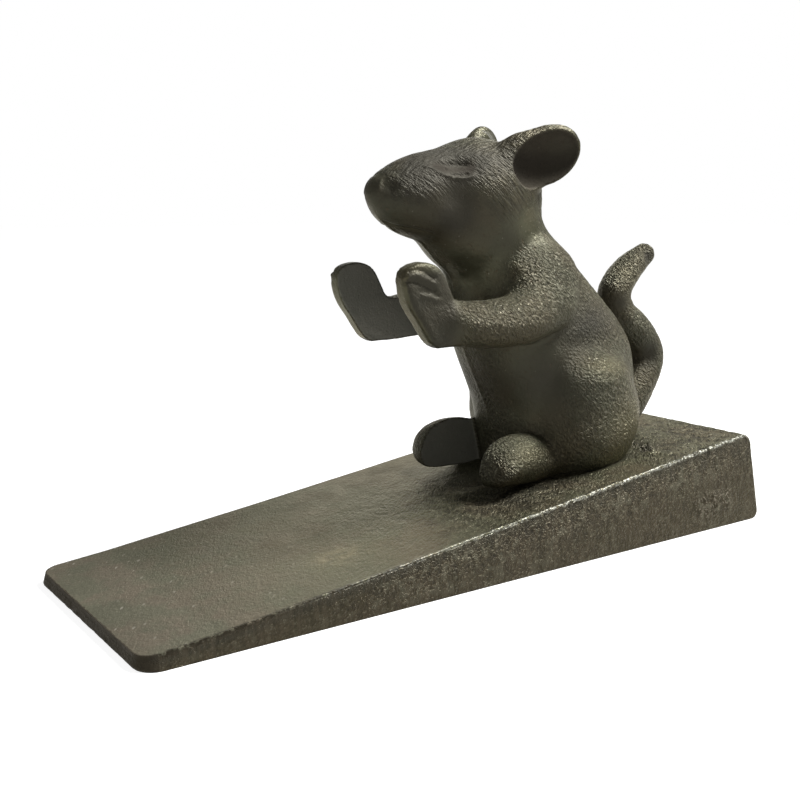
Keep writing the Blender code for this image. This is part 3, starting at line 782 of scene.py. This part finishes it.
# The forearm with its paw, and the foot, drawn from the side.
PAW_OUTLINE = np.array([
    (-42.2, 28.7), (-44, 29.7), (-45.6, 31.7), (-47.2, 34.1), (-48.9, 36.4), (-50, 38.6),
    (-50.6, 41), (-50.6, 43), (-49.7, 44.3), (-47.9, 45.1), (-45.5, 45.4), (-43.1, 44.8),
    (-41.5, 43.6), (-40.3, 41.6), (-39.3, 39.7), (-38, 37.4), (-35, 36.2), (-28, 36.2),
    (-16, 36), (-16, 29.2), (-28, 28.9), (-37, 28.8)])
FOOT_OUTLINE = np.array([
    (-4, -1), (-12, -2.1), (-20, -1.9), (-26, -1.6), (-28.3, -0.7), (-29.2, 1),
    (-29.2, 3), (-28.4, 5.4), (-26.5, 7.5), (-23.8, 8.7), (-20.3, 9.1), (-16, 8.6),
    (-10, 6.6), (-4, 4)])


def outline_distance(flat, outline):
    """Signed distance in the XZ plane to a closed outline, minus inside."""
    best = np.full(len(flat), 1e9)
    inside = np.zeros(len(flat), dtype=bool)
    for start, end in zip(outline, np.roll(outline, -1, axis=0)):
        best = np.minimum(best, beside_segment(flat, start, end)[0])
        crosses = (start[1] > flat[:, 1]) != (end[1] > flat[:, 1])
        with np.errstate(divide="ignore", invalid="ignore"):
            share = (flat[:, 1] - start[1]) / (end[1] - start[1])
            inside ^= crosses & (flat[:, 0] < start[0] + share * (end[0] - start[0]))
    return np.where(inside, -best, best)


def slab(places, outline, strip, swell, reach):
    """A limb's end drawn from the side: flat inside, and outside a dome over the outline.

    The dome starts strip from the middle plane at the outline and gains swell along a quarter
    ellipse over the first reach inward. The two numbers of swell are for the front and the back.
    """
    ring = smooth_path(outline, 4)
    front, back = ring[:, 0].min(), ring[:, 0].max()

    def measure(points):
        flat = outline_distance(points[:, [0, 2]], ring)
        deep = np.clip(-flat / reach, 0.0, 1.0)
        grown = np.interp(points[:, 0], (front, back), swell)
        skin = strip + grown * np.sqrt(np.clip(1.0 - (1.0 - deep) ** 2, 0.0, 1.0))
        outer = -points[:, 1] - skin
        inner = INNER_FACE + points[:, 1]
        return -melt(-flat, -np.maximum(outer, inner), 0.35)
    return within(places, (front - 5.0, -30.0, ring[:, 1].min() - 5.0),
                  (back + 5.0, 3.0, ring[:, 1].max() + 5.0), measure)


def mouse_field(places):
    """Distance to the mouse's near half, in millimetres from the seat point, minus inside.

    Balls, tubes and the trunk are melted together with a fillet at each joint. Arm and foot are
    cut flat on the inside before they join the trunk, and the ear's cup is carved last.
    """
    head = ball(places, (-21, 0, 59.2), (13, 11.5, 10.4))
    head = melt(head, tube(places, [(-25, 0, 59, 10.4), (-31, 0, 58.3, 9.6),
                                    (-37.5, 0, 58.1, 8.4), (-42.5, 0, 58.2, 6.3),
                                    (-45.6, 0, 58.6, 4.2)]), 3)
    head = melt(head, ball(places, (-26.2, 0, 50.6), (9.8, 8.5, 7.4)), 3)
    body = melt(torso(places), head, 4)
    haunch = melt(ball(places, (0.8, -12.2, 10.5), (13.2, 7.6, 13)),
                  ball(places, (-1, -13, 17.4), (10.5, 6.8, 8.2)), 2.6)
    body = melt(body, haunch, 2.4)
    shoulder = ball(places, (-13, -9, 39.6), (9.6, 7.1, 8.8))
    arm = tube(places, [(-12.6, -12.2, 36, 5.5), (-22, -13.2, 33.7, 5.3),
                        (-30, -12.9, 33.3, 4.7), (-36, -11.8, 33.4, 4.3),
                        (-41, -10.3, 34.5, 3.4)])
    arm = melt(arm, slab(places, PAW_OUTLINE, 12.5, (1.1, 1.1), 1.8), 1.5)
    arm = -melt(-arm, -INNER_FACE - places[:, 1], 0.4)
    arm = melt(arm, shoulder, 3)
    body = melt(body, arm, 1.4 + 2.8 * rise(places[:, 2], 36, 44))
    body = melt(body, slab(places, FOOT_OUTLINE, 10.3, (7.4, 3), 5.4), 1.6)
    body = melt(body, tube(places, [
        (15, 0, 2, 6), (21.5, 0, 6.5, 5.4), (28, 0, 12.8, 4.8),
        (31.8, 0, 20, 4.4), (28, 0, 26.2, 4.2), (21.7, 0, 31.2, 4.1),
        (20, 0, 36.2, 3.9), (23.8, 0, 41.1, 3.5), (29.5, 0, 44.8, 2.6)]), 2)
    ear = ball(places, EAR_PLACE, (8.1, 2.6, 5.8), EAR_TURN)
    ear = melt(ear, ball(places, (-18.2, -8.5, 66), (6.5, 3, 4.8), EAR_TURN), 1.5)
    body = melt(body, ear, 2)
    cup_place = EAR_PLACE + CUP_SHIFT
    return carve(body, ball(places, cup_place, CUP_RADII, EAR_TURN), 0.5)


def skin_of(field, low, high, step):
    """Skin of a field by surface nets.

    Every grid cell that the surface crosses gets one point, the mean of the crossings on its
    edges, and every grid edge that crosses it gets one four-sided face.
    """
    axes = [np.arange(a, b + step / 2.0, step) for a, b in zip(low, high)]
    grid = np.stack(np.meshgrid(*axes, indexing="ij"), axis=-1)
    value = field(grid.reshape(-1, 3)).reshape(grid.shape[:3])
    sums = np.zeros(tuple(n - 1 for n in value.shape) + (3,))
    count = np.zeros(sums.shape[:3])
    crossings = []
    for axis in range(3):
        here, grid_here, sums_here, count_here = (
            np.moveaxis(array, axis, 0) for array in (value, grid, sums, count))
        crosses = (here[:-1] < 0.0) != (here[1:] < 0.0)
        with np.errstate(divide="ignore", invalid="ignore"):
            share = np.where(crosses, here[:-1] / (here[:-1] - here[1:]), 0.0)
        point = grid_here[:-1].copy()
        point[..., axis] += share * step
        point *= crosses[..., None]
        rows, columns = count_here.shape[1:]
        for first, second in ((0, 0), (0, 1), (1, 0), (1, 1)):
            sums_here += point[:, first:first + rows, second:second + columns]
            count_here += crosses[:, first:first + rows, second:second + columns]
        crossings.append(np.moveaxis(crosses, 0, axis))
    used = count > 0
    number = np.full(count.shape, -1)
    number[used] = np.arange(used.sum())
    faces = []
    for axis, crosses in enumerate(crossings):
        where = np.argwhere(crosses)
        inner = (where > 0) & (where < np.array(value.shape) - 1)
        inner[:, axis] = True
        where = where[inner.all(axis=1)]
        face = np.stack([number[tuple((where - np.insert(back, axis, 0)).T)]
                         for back in ((1, 1), (0, 1), (0, 0), (1, 0))], axis=-1)
        turned_over = (value[tuple(where.T)] >= 0.0) ^ (axis == 1)
        face[turned_over] = face[turned_over][:, ::-1]
        faces.append(face)
    return sums[used] / count[used][:, None], np.concatenate(faces)


def drawn_to(field, places, rounds=3):
    """Move the points onto the field's surface along its slope, a few small steps."""
    nudge = 0.02
    for _ in range(rounds):
        value = field(places)
        slope = np.stack([field(places + offset) - field(places - offset)
                          for offset in np.eye(3) * nudge], axis=-1) / (2.0 * nudge)
        steep = np.maximum((slope ** 2).sum(axis=1), 0.2)
        places = places - np.clip(value / steep, -0.4, 0.4)[:, None] * slope
    return places


MOUSE_STEP = 0.62
rough_points, rough_faces = skin_of(mouse_field, (-55.0, -21.0, -6.0), (40.0, 1.6, 76.0),
                                    MOUSE_STEP)
rough_mesh = bpy.data.meshes.new("mouse_half")
rough_mesh.from_pydata((drawn_to(mouse_field, rough_points, 1) * MM).tolist(), [],
                       rough_faces.tolist())
fine_mesh = with_modifiers(rough_mesh, ("finer", "SUBSURF", {"levels": 1, "render_levels": 1}))
places, _ = vertex_places(fine_mesh)
set_places(fine_mesh, drawn_to(mouse_field, places, 3))


def along_line(places, width, *knots):
    """1 on a smooth line through the knots, falling as a bell of the distance from it."""
    path = smooth_path(knots, 5)
    reach = 3.0 * width

    def measure(points):
        best = np.full(len(points), reach)
        for start, end in zip(path, path[1:]):
            best = np.minimum(best, beside_segment(points, start, end)[0])
        return np.exp(-(best / width) ** 2)
    return within(places, path.min(axis=0) - reach, path.max(axis=0) + reach, measure, 0.0)


def ear_hollow(places):
    """1 inside the ear's cup and 0 outside it."""
    local = (places - EAR_PLACE - CUP_SHIFT) @ EAR_TURN
    away = np.linalg.norm(local / (CUP_RADII + 0.2), axis=1)
    return np.clip((1.03 - away) / 0.04, 0.0, 1.0)


def eye_hollow(places):
    """1 in the crease above the closed eye, falling away within two millimetres."""
    return along_line(places, 1.4, (-37.4, -6.4, 64), (-35.6, -7.2, 63.9), (-33.6, -7.6, 63.8),
                      (-31.2, -8, 63.4))


# Where the fur is worn or hollow: neck, chin, eye, haunch and tail.
SMOOTH_SPOTS = (
    (1.2, (-17.8, -10, 53.2), (3.2, 4, 3.8)), (1.3, (-34, -9, 54), (5.2, 7, 6.5)),
    (1.2, (-42, -5, 53.5), (7, 6, 3.6)), (1.2, (-24, -10.5, 49.8), (6.5, 6, 3.4)),
    (1.2, (-26, -5, 43.5), (6, 7, 7)), (0.5, (-33.4, -7.6, 63.6), (3.6, 4, 2)),
    (1.4, (-15.5, -11.5, 19.5), (9, 7.5, 12)), (1, (29, -4, 21), (3.6, 3, 4.2)),
    (1, (17.7, -4, 34.2), (3.4, 3, 3.2)))


def furred(places, normals):
    """How strongly the fur shows, 0 to 1: the worn, hollow and flat parts are smooth."""
    x, y, z = places.T
    smooth = swellings(places, *SMOOTH_SPOTS) + ear_hollow(places)
    smooth += 0.8 * rise(x, -36.0, -39.0) * rise(z, 50.0, 48.0)
    smooth += 0.8 * rise(x, -46.8, -47.6) * rise(z, 50.0, 52.0)
    smooth += rise(normals[:, 1], 0.8, 0.9) * rise(y, -9.0, -9.5)
    smooth += 0.6 * np.clip(-normals[:, 2], 0.0, 1.0)
    return 1.0 - np.clip(smooth, 0.0, 1.0)


def combed(places, degrees):
    """Coordinates that turn with the fur: along it, which is back and down, and across it."""
    x, y, z = places.T
    lean = math.radians(degrees)
    along = x * math.cos(lean) - z * math.sin(lean)
    across = x * math.sin(lean) + z * math.cos(lean)
    return np.stack([along, y, across], axis=-1)


def on_head(places):
    """1 on the head and 0 below the neck."""
    return rise(places[:, 2], 47.0, 51.0)


# Lumps and hollows of the skin: the eye, cheek, brow, haunch, tail and nose. Then its ridges and
# grooves, each with its height, its width and its points: the lids, the nose, the mouth and
# the folds of the paw.
RELIEF_SPOTS = (
    (-0.75, (-34, -7.4, 64.2), (3.6, 2.5, 1.6)), (0.12, (-33.2, -8, 63), (1.8, 2, 1)),
    (-1, (-34.5, -9, 57.8), (3.6, 4, 3)), (0.3, (-33.5, -6, 66.9), (4, 2.5, 1.3)),
    (1.2, (-1, -17, 21), (7, 5, 3)), (-0.6, (-2, -14.5, 27.6), (9, 5, 1.9)),
    (-0.7, (29.2, -4.4, 20.8), (3.4, 2.5, 3.8)), (-0.7, (28.6, -2.6, 44.2), (1.3, 1.6, 1.5)),
    (-0.55, (-47.3, -4.2, 60), (1.2, 1.6, 1.3)))
RELIEF_LINES = (
    (0.34, 0.34, (-40.6, -5.6, 64.2), (-39, -6.6, 63.4), (-37.4, -7.6, 62.5), (-36, -8.1, 61.9),
     (-34.4, -8.6, 61.6), (-32.6, -8.8, 61.6), (-31, -9, 62)),
    (0.16, 0.32, (-36.8, -6.6, 64.4), (-35.6, -7, 63.8), (-34.6, -7.2, 63.2)),
    (-0.40, 0.60, (-37.4, -6.2, 64.9), (-35.6, -6.6, 65), (-33.6, -7, 65), (-31.6, -7.4, 64.7)),
    (-0.25, 0.35, (-35.4, -8.2, 62.4), (-33.8, -8.5, 62.2), (-32.2, -8.7, 62.4)),
    (0.22, 0.40, (-49, -2.5, 58.9), (-48.6, -2.2, 60.5), (-47.7, -2, 61.5)),
    (-0.28, 0.40, (-46.5, -0.6, 53.2), (-44.6, -2.1, 52.4), (-42.4, -3.6, 52.1),
     (-40.3, -4.3, 51.5), (-38, -4.6, 51)),
    (0.18, 0.45, (-44.6, -2.5, 53.1), (-42.4, -4.2, 52.9), (-40, -4.9, 52.4)),
    (-0.36, 0.42, (-50.2, -12.6, 43.3), (-49, -13.5, 44.1), (-46.4, -13.6, 43.9),
     (-44, -13.6, 42.3)),
    (0.32, 0.50, (-49.9, -13.3, 42.8), (-48.6, -13.6, 43.2), (-46.6, -13.6, 42.5),
     (-43.9, -13.6, 41.4)),
    (-0.34, 0.50, (-50.3, -13.2, 41.9), (-48.6, -13.6, 41.8), (-46.6, -13.6, 41.1),
     (-43.8, -13.6, 39.9)),
    (0.28, 0.42, (-46.8, -13.6, 39.3), (-45, -13.6, 38.9), (-43.2, -13.6, 38.2)),
    (-0.26, 0.40, (-47.2, -13.6, 40.1), (-45, -13.6, 39.6), (-43, -13.6, 38.9)))


def mouse_relief(places, normals):
    """How far the mouse's skin stands out from its smooth form, in millimetres.

    Strokes of fur, stretched along the way it lies on the head and rounder on the body, then
    the lumps and lines of the two tables, and the raised line where the halves meet.
    """
    x, y, z = places.T
    head = on_head(places)
    lie = combed(places, 44.0)
    on_top = rise(normals[:, 2], 0.45, 0.75)
    strokes = ((1.0 - on_top) * grain(lie, (2.2, 0.9, 0.42), 21)
               + on_top * grain(combed(places, 10.0), (2.2, 0.42, 2.0), 22))
    pebbles = grain(lie, (0.70, 0.52, 0.46), 23) + 0.4 * grain(places, 1.1, 24)
    stand = furred(places, normals) * (0.055 * head * strokes + 0.065 * (1.0 - head) * pebbles)
    stand += 0.03 * grain(places, 3.0, 25) + 0.012 * grain(places, 0.8, 26)
    stand += swellings(places, *RELIEF_SPOTS)
    for height, width, *knots in RELIEF_LINES:
        stand += height * along_line(places, width, *knots)
    facing = np.clip(-normals[:, 0] * 1.5, 0.0, 1.0) * rise(z, 56.0, 52.0)
    ragged = 0.8 + 0.4 * grain(places, 1.5, 27)
    return stand + 0.26 * ragged * facing * np.exp(-(y / 0.5) ** 2)


places, normals = vertex_places(fine_mesh)
set_places(fine_mesh, places + normals * mouse_relief(places, normals)[:, None])

CROSS_BORE_X = SEAT_X - 2.0
CROSS_BORE_Z = SEAT_Z + 23.0
CROSS_HEAD_SEAT = 11.5
CROSS_HEAD_ROOM = 4.3
CROSS_BORE_END = -9.1
BASE_BORE_TOP = 25.0
SEAT_GAP = 0.12
TRIM_GAP = 0.02
FAR_EAR_LIFTS = ((0.9, (-12.5, 10.8, 72), (5, 4, 3.5)), (-1.5, (-19.5, 8.5, 70.6), (2.6, 4, 3)))
TOWARD_FAR = Matrix.Rotation(math.radians(-90.0), 4, "X")


def bores(side):
    """Tools for one half's screw holes: the one from beneath and the one across both halves."""
    bm = bmesh.new()
    rod(bm, HOLE_RADIUS, (SCREW_X, side * SCREW_SPREAD, 0.0), BASE_BORE_TOP)
    start, end = (CROSS_BORE_END, 1.0) if side < 0 else (-1.0, CROSS_HEAD_SEAT + 1.0)
    rod(bm, HOLE_RADIUS, (CROSS_BORE_X, start, CROSS_BORE_Z), end - start, TOWARD_FAR)
    tools = [tool_object("bores", bm)]
    if side > 0:
        bm = bmesh.new()
        rod(bm, CROSS_HEAD_ROOM, (CROSS_BORE_X, CROSS_HEAD_SEAT, CROSS_BORE_Z), 20.0, TOWARD_FAR)
        tools.append(tool_object("head_room", bm))
    return tools


def clear_past(bm, plane, outward):
    """Clear what lies past a plane; returns the edges of the cut."""
    cut = bmesh.ops.bisect_plane(bm, geom=bm.verts[:] + bm.edges[:] + bm.faces[:],
                                 plane_co=plane, plane_no=outward, clear_outer=True)
    return [part for part in cut["geom_cut"] if isinstance(part, bmesh.types.BMEdge)]


def half_casting(name, side):
    """One half: the skin on its own side of the middle plane, seated on the slope and bored.

    The near paw lies a little higher than the far one, and the far ear has a shape of its own.
    The bores' tools stand out past the two flats, and the walls they leave there are cleared.
    """
    mesh = fine_mesh.copy()
    mesh.name = name
    own, _ = vertex_places(mesh)
    own = own * (1.0, -side, 1.0)
    lift = -side * PAW_LIFT * rise(own[:, 0], -30.0, -38.0) * rise(own[:, 2], 20.0, 26.0)
    lift *= rise(np.abs(own[:, 1]), 8.0, 10.0)
    if side > 0:
        lift += swellings(own, *FAR_EAR_LIFTS)
    own[:, 2] += lift
    set_places(mesh, own + SEAT)
    down = np.array((math.sin(SLOPE), 0.0, -math.cos(SLOPE)))
    flats = ((np.zeros(3), np.array((0.0, -side, 0.0))), ((SEAT - SEAT_GAP * down) * MM, down))
    bm = bmesh.new()
    bm.from_mesh(mesh)
    for plane, outward in flats:
        bmesh.ops.edgeloop_fill(bm, edges=clear_past(bm, plane, outward))
    bmesh.ops.recalc_face_normals(bm, faces=bm.faces)
    bm.to_mesh(mesh)
    mesh = cut_by(mesh, *bores(side))
    bm.clear()
    bm.from_mesh(mesh)
    for plane, outward in flats:
        clear_past(bm, plane + TRIM_GAP * MM * outward, outward)
    bm.to_mesh(mesh)
    bm.free()
    store_finish(mesh, side)
    mesh.shade_smooth()
    mesh.set_sharp_from_angle(angle=math.radians(60.0))
    return mesh


# Lighter where the first number is positive and darker where it's negative: dusty patches on the
# neck and the lower haunch, painted highlights on the haunch's shelf, the foot and the tail's top,
# and painted shade on the face, head, chest, belly, flank and the tail's inner side.
TONE_SPOTS = (
    (0.6, (-17.8, -10, 53.2), (2.8, 4, 3.6)), (1.2, (-1, -17, 22.4), (4.5, 4, 2.4)),
    (0.9, (5, -18, 9), (7, 6, 6)), (0.3, (20, -3.5, 41), (3, 3, 4)),
    (-0.7, (0, -13, 32.5), (9, 7, 4)), (1, (-20, -17, 5.8), (5, 3.5, 2.8)),
    (-0.2, (-29, -14, 1.5), (5, 6, 5)), (-1.2, (-37, -4, 65), (9, 6, 5.5)),
    (-0.6, (-43, -6, 60), (5, 5, 4.5)), (-1.1, (-32.8, -7.6, 64), (5.4, 4, 2.8)),
    (-0.6, (-48.5, -2, 58.5), (3, 4, 4)), (-1.1, (-34, -9, 54.5), (5, 7, 6.5)),
    (-0.5, (-42, -5, 54), (6, 6, 4.5)), (-0.9, (-13, -14, 20), (9.5, 8, 11)),
    (-0.4, (-4, -16.5, 29.5), (8, 6, 4)), (-0.5, (-24, -9, 57), (6, 6, 6)),
    (-0.75, (-21, -7, 66), (8, 6, 4.5)), (-0.6, (-21, -3, 20), (6, 8, 10)),
    (-0.5, (-22, -11, 49), (8, 6, 4)), (-1, (29, -4, 21), (4, 3.5, 4.5)),
    (-0.9, (17.7, -4, 34.2), (3.6, 3, 3.4)), (-1, (28.4, -2.5, 44.2), (1.5, 1.8, 1.7)))


def painted_tone(places, normals):
    """Up to 1 where the skin is painted lighter and down to -1 where it is painted darker: a few
    dusty patches, mostly painted highlights and painted shade.
    """
    x, _, z = places.T
    tone = swellings(places, *TONE_SPOTS)
    # Painted shade on the paw, except on its forward strip, and less on its top.
    on_paw = rise(x, -36.0, -40.0) * (z < 50.0)
    to_tip = rise(normals[:, 0], -0.45, -0.65)
    tone += on_paw * (0.95 * to_tip - 0.9) * np.clip((45.5 - z) / 2.0, 0.3, 1.0)
    # Painted shade on the ear below its upper rim.
    tone += swellings(places, (-0.8, EAR_PLACE, (8, 4, 6))) * rise(z, 67.5, 65.5)
    return np.clip(tone, -1.0, 1.0)


def store_finish(mesh, side):
    """Keep for the material where fur lies, where the creases are, and how much the skin is painted
    lighter and darker.

    Creases are where the mouse's own form comes close in front of the skin, which is where its
    distance a little way out is much less than that way; they are darkened, partly dirt and partly
    painted shade. The flat inner faces of paws and feet get no tone and are painted lighter, a
    painted fill light in their shade.
    """
    places, normals = vertex_places(mesh)
    mirror = np.array([1.0, -side, 1.0])
    places = (places - SEAT) * mirror
    normals = normals * mirror
    open_way = mouse_field(places + 2.2 * normals) / 2.2
    # Painted fill light: the flat inner faces, made lighter in the material and given no tone.
    inside = rise(normals[:, 1], 0.8, 0.9) * (places[:, 1] < -9.0)
    store_values(mesh, fur=furred(places, normals), head=on_head(places),
                 crevice=np.clip(1.15 - open_way, 0.0, 1.0),
                 hollow=np.maximum(ear_hollow(places), eye_hollow(places)), inside=inside,
                 tone=painted_tone(places, normals) * (1.0 - inside))


def combed_noise(tree, place, degrees, stretch, size, detail):
    """Noise stretched along the lie of the fur; stretch is how much each way, size is in mm."""
    turn = mapped(tree, place, Rotation=(0.0, math.radians(-degrees), 0.0))
    return noise(tree, mapped(tree, turn, Scale=stretch), size, detail, 0.55)


def between(tree, share, first, second):
    """First value where share is 0, second where it is 1."""
    return total(tree, product(tree, second, share), product(tree, first, rest_of(tree, share)))


figure_iron, tree, shader, bump = iron_material(
    "figure_iron", (0.056, 0.055, 0.032), (0.094, 0.093, 0.058), (0.084, 0.066, 0.036), 0.6, 0.50)
shader["Specular IOR Level"].default_value = 0.35
fur, head, crevice, hollow, inside, tone = attributes(
    tree, "fur", "head", "crevice", "hollow", "inside", "tone")
place = object_place(tree)
facing = node(tree, "ShaderNodeSeparateXYZ",
              {0: tree.nodes.new("ShaderNodeNewGeometry").outputs["Normal"]}).outputs["Z"]
strokes = between(tree, ramp(tree, facing, 0.45, 0.75),
                  combed_noise(tree, place, 44.0, (0.18, 0.5, 1.0), 0.46, 2.0),
                  combed_noise(tree, place, 10.0, (0.18, 1.0, 0.3), 0.46, 2.0))
pebbles = combed_noise(tree, place, 44.0, (0.60, 0.9, 1.0), 0.50, 3.0)
coat = product(tree, ramp(tree, between(tree, head, pebbles, strokes), 0.33, 0.67), fur)
height = product(tree, coat, rest_of(tree, product(tree, head, 0.53)))
height = total(tree, height, product(tree, source_of(bump["Height"]), 0.38))
tree.links.new(height, bump["Height"])
bump["Distance"].default_value = 0.40 * MM
base = coated(
    tree, source_of(shader["Base Color"]),
    # Painted shade in the grooves of the fur, and below the head painted highlights on the pebbles'
    # tops.
    (maths(tree, "SUBTRACT", fur, coat), 0.80, (0.022, 0.020, 0.016)),
    (product(tree, ramp(tree, coat, 0.55, 0.90), rest_of(tree, head)), 0.45, (0.22, 0.21, 0.165)),
    # Lighter and darker by the tone: painted highlights and painted shade, with a few dusty
    # patches.
    (tone, 0.75, (0.17, 0.155, 0.100)), (tone, -0.88, (0.021, 0.019, 0.015)),
    # Painted shade in the creases, partly dirt, and painted shade in the ear's cup and over the
    # eye.
    (crevice, 0.35, (0.026, 0.023, 0.017)), (hollow, 0.8, (0.034, 0.028, 0.022)),
    # Painted fill light on the flat inner faces of paws and feet.
    (inside, 0.8, (0.140, 0.138, 0.118)))
tree.links.new(base, shader["Base Color"])
darkened = maths(tree, "MAXIMUM", product(tree, tone, -1.0), 0.0)
lightened = maths(tree, "MAXIMUM", tone, 0.0)
dull = total(tree, source_of(shader["Roughness"]), product(tree, hollow, 0.3),
             product(tree, darkened, 0.24), product(tree, lightened, -0.08))
tree.links.new(dull, shader["Roughness"])
bare = product(tree, ramp(tree, tone, -1.0, 1.0, 0.15, 0.85), rest_of(tree, inside))
tree.links.new(bare, shader["Metallic"])

for name, side, part in (("mouse_near_half", -1.0, "mouse_left_half"),
                         ("mouse_far_half", 1.0, "mouse_right_half")):
    half_mesh = half_casting(name, side)
    half_mesh.materials.clear()
    half_mesh.materials.append(figure_iron)
    shown(name, half_mesh, "figure_iron", part)


# The screws and washers. Turned steel screws with slotted heads, and zinc plated washers, all
# dulled by wax. One screw draws the halves together, and two come up through the wedge.
def turned_steel(name, light, dark, roughness):
    """Steel with a fine grain, mottled by tarnish."""
    material, tree, shader = plain_material(name, Metallic=0.9)
    place = object_place(tree)
    tarnish = ramp(tree, noise(tree, place, 1.6, 4.0, 0.6, 0.5), 0.40, 0.66)
    tree.links.new(blend_colours(tree, tarnish, light, dark), shader["Base Color"])
    tree.links.new(total(tree, product(tree, tarnish, 0.22), roughness), shader["Roughness"])
    bump = node(tree, "ShaderNodeBump", {"Height": noise(tree, place, 0.16, 2.0, 0.5),
                                         "Strength": 0.6, "Distance": 0.03 * MM})
    tree.links.new(bump.outputs["Normal"], shader["Normal"])
    return material


screw_steel = turned_steel("screw_steel", (0.30, 0.29, 0.27), (0.11, 0.10, 0.08), 0.34)
washer_zinc = turned_steel("washer_zinc", (0.55, 0.55, 0.53), (0.30, 0.29, 0.27), 0.38)
for fastener, finish in (("cross_screw", screw_steel), ("base_screw_left", screw_steel),
                         ("base_screw_right", screw_steel), ("base_washer_left", washer_zinc),
                         ("base_washer_right", washer_zinc)):
    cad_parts[fastener].material_slots[0].material = finish


# Floor
FLOOR_REACH = 3.0
floor_mesh = bpy.data.meshes.new("floor")
floor_mesh.from_pydata([(x * FLOOR_REACH, y * FLOOR_REACH, 0.0)
                        for x, y in ((-1, -1), (1, -1), (1, 1), (-1, 1))], [], [(0, 1, 2, 3)])
floor = bpy.data.objects.new("floor", floor_mesh)
scene.collection.objects.link(floor)
paper, tree, shader = plain_material("floor_paper", Roughness=0.9)
from_middle = node(tree, "ShaderNodeVectorMath", {0: object_place(tree)},
                   operation="LENGTH").outputs["Value"]
far_off = ramp(tree, from_middle, 0.20, 0.70)
tree.links.new(blend_colours(tree, far_off, (0.35, 0.35, 0.35), (0.02, 0.02, 0.02)),
               shader["Base Color"])
shader["Specular IOR Level"].default_value = 0.0
seen = tree.nodes.new("ShaderNodeLightPath")
shine = maths(tree, "MAXIMUM", seen.outputs["Is Camera Ray"], seen.outputs["Is Glossy Ray"])
shine = maths(tree, "MAXIMUM", shine, seen.outputs["Is Transmission Ray"])
tree.links.new(product(tree, shine, ramp(tree, far_off, 0.0, 1.0, 0.86, 1.0)),
               shader["Emission Strength"])
shader["Emission Color"].default_value = (1.0, 1.0, 1.0, 1.0)
floor_mesh.materials.append(paper)

# Camera
FRAME_PIXELS = 800.0
FOCAL_PIXELS = 1042.4
SENSOR_WIDTH = 36.0
LOOK_DOWN = 10.683
HEADING = 35.674
camera_data = bpy.data.cameras.new("camera")
camera_data.sensor_width = SENSOR_WIDTH
camera_data.lens = FOCAL_PIXELS / FRAME_PIXELS * SENSOR_WIDTH
camera = bpy.data.objects.new("camera", camera_data)
camera.location = (-0.1297, -0.1706, 0.0718)
camera.rotation_euler = (math.radians(90.0 - LOOK_DOWN), 0.0, math.radians(-HEADING))
scene.collection.objects.link(camera)
scene.camera = camera

# Light: a soft box above on the right, a low one behind, a weak one in front on the left, and a
# little from all round. The camera sees plain white behind.
AROUND = 0.25
world = bpy.data.worlds.new("world")
world.use_nodes = True
tree = world.node_tree
background = tree.nodes["Background"].inputs
background["Color"].default_value = (1.0, 1.0, 1.0, 1.0)
seen = tree.nodes.new("ShaderNodeLightPath").outputs["Is Camera Ray"]
tree.links.new(ramp(tree, seen, 0.0, 1.0, AROUND, 1.0), background["Strength"])
scene.world = world


def soft_box(name, place, size, energy):
    """A square lamp that points at the middle of the doorstop."""
    data = bpy.data.lights.new(name, "AREA")
    data.size = size
    data.energy = energy
    lamp = bpy.data.objects.new(name, data)
    lamp.location = place
    aim = Vector((0.01, 0.0, 0.03)) - Vector(place)
    lamp.rotation_euler = aim.to_track_quat("-Z", "Y").to_euler()
    lamp.visible_camera = False
    scene.collection.objects.link(lamp)


soft_box("key_box", (0.34, -0.16, 0.53), 0.18, 9.0)
soft_box("back_box", (0.46, 0.72, 0.24), 0.42, 0.85)
soft_box("left_box", (-0.56, -0.42, 0.22), 0.50, 0.70)

scene.view_settings.view_transform = "Standard"
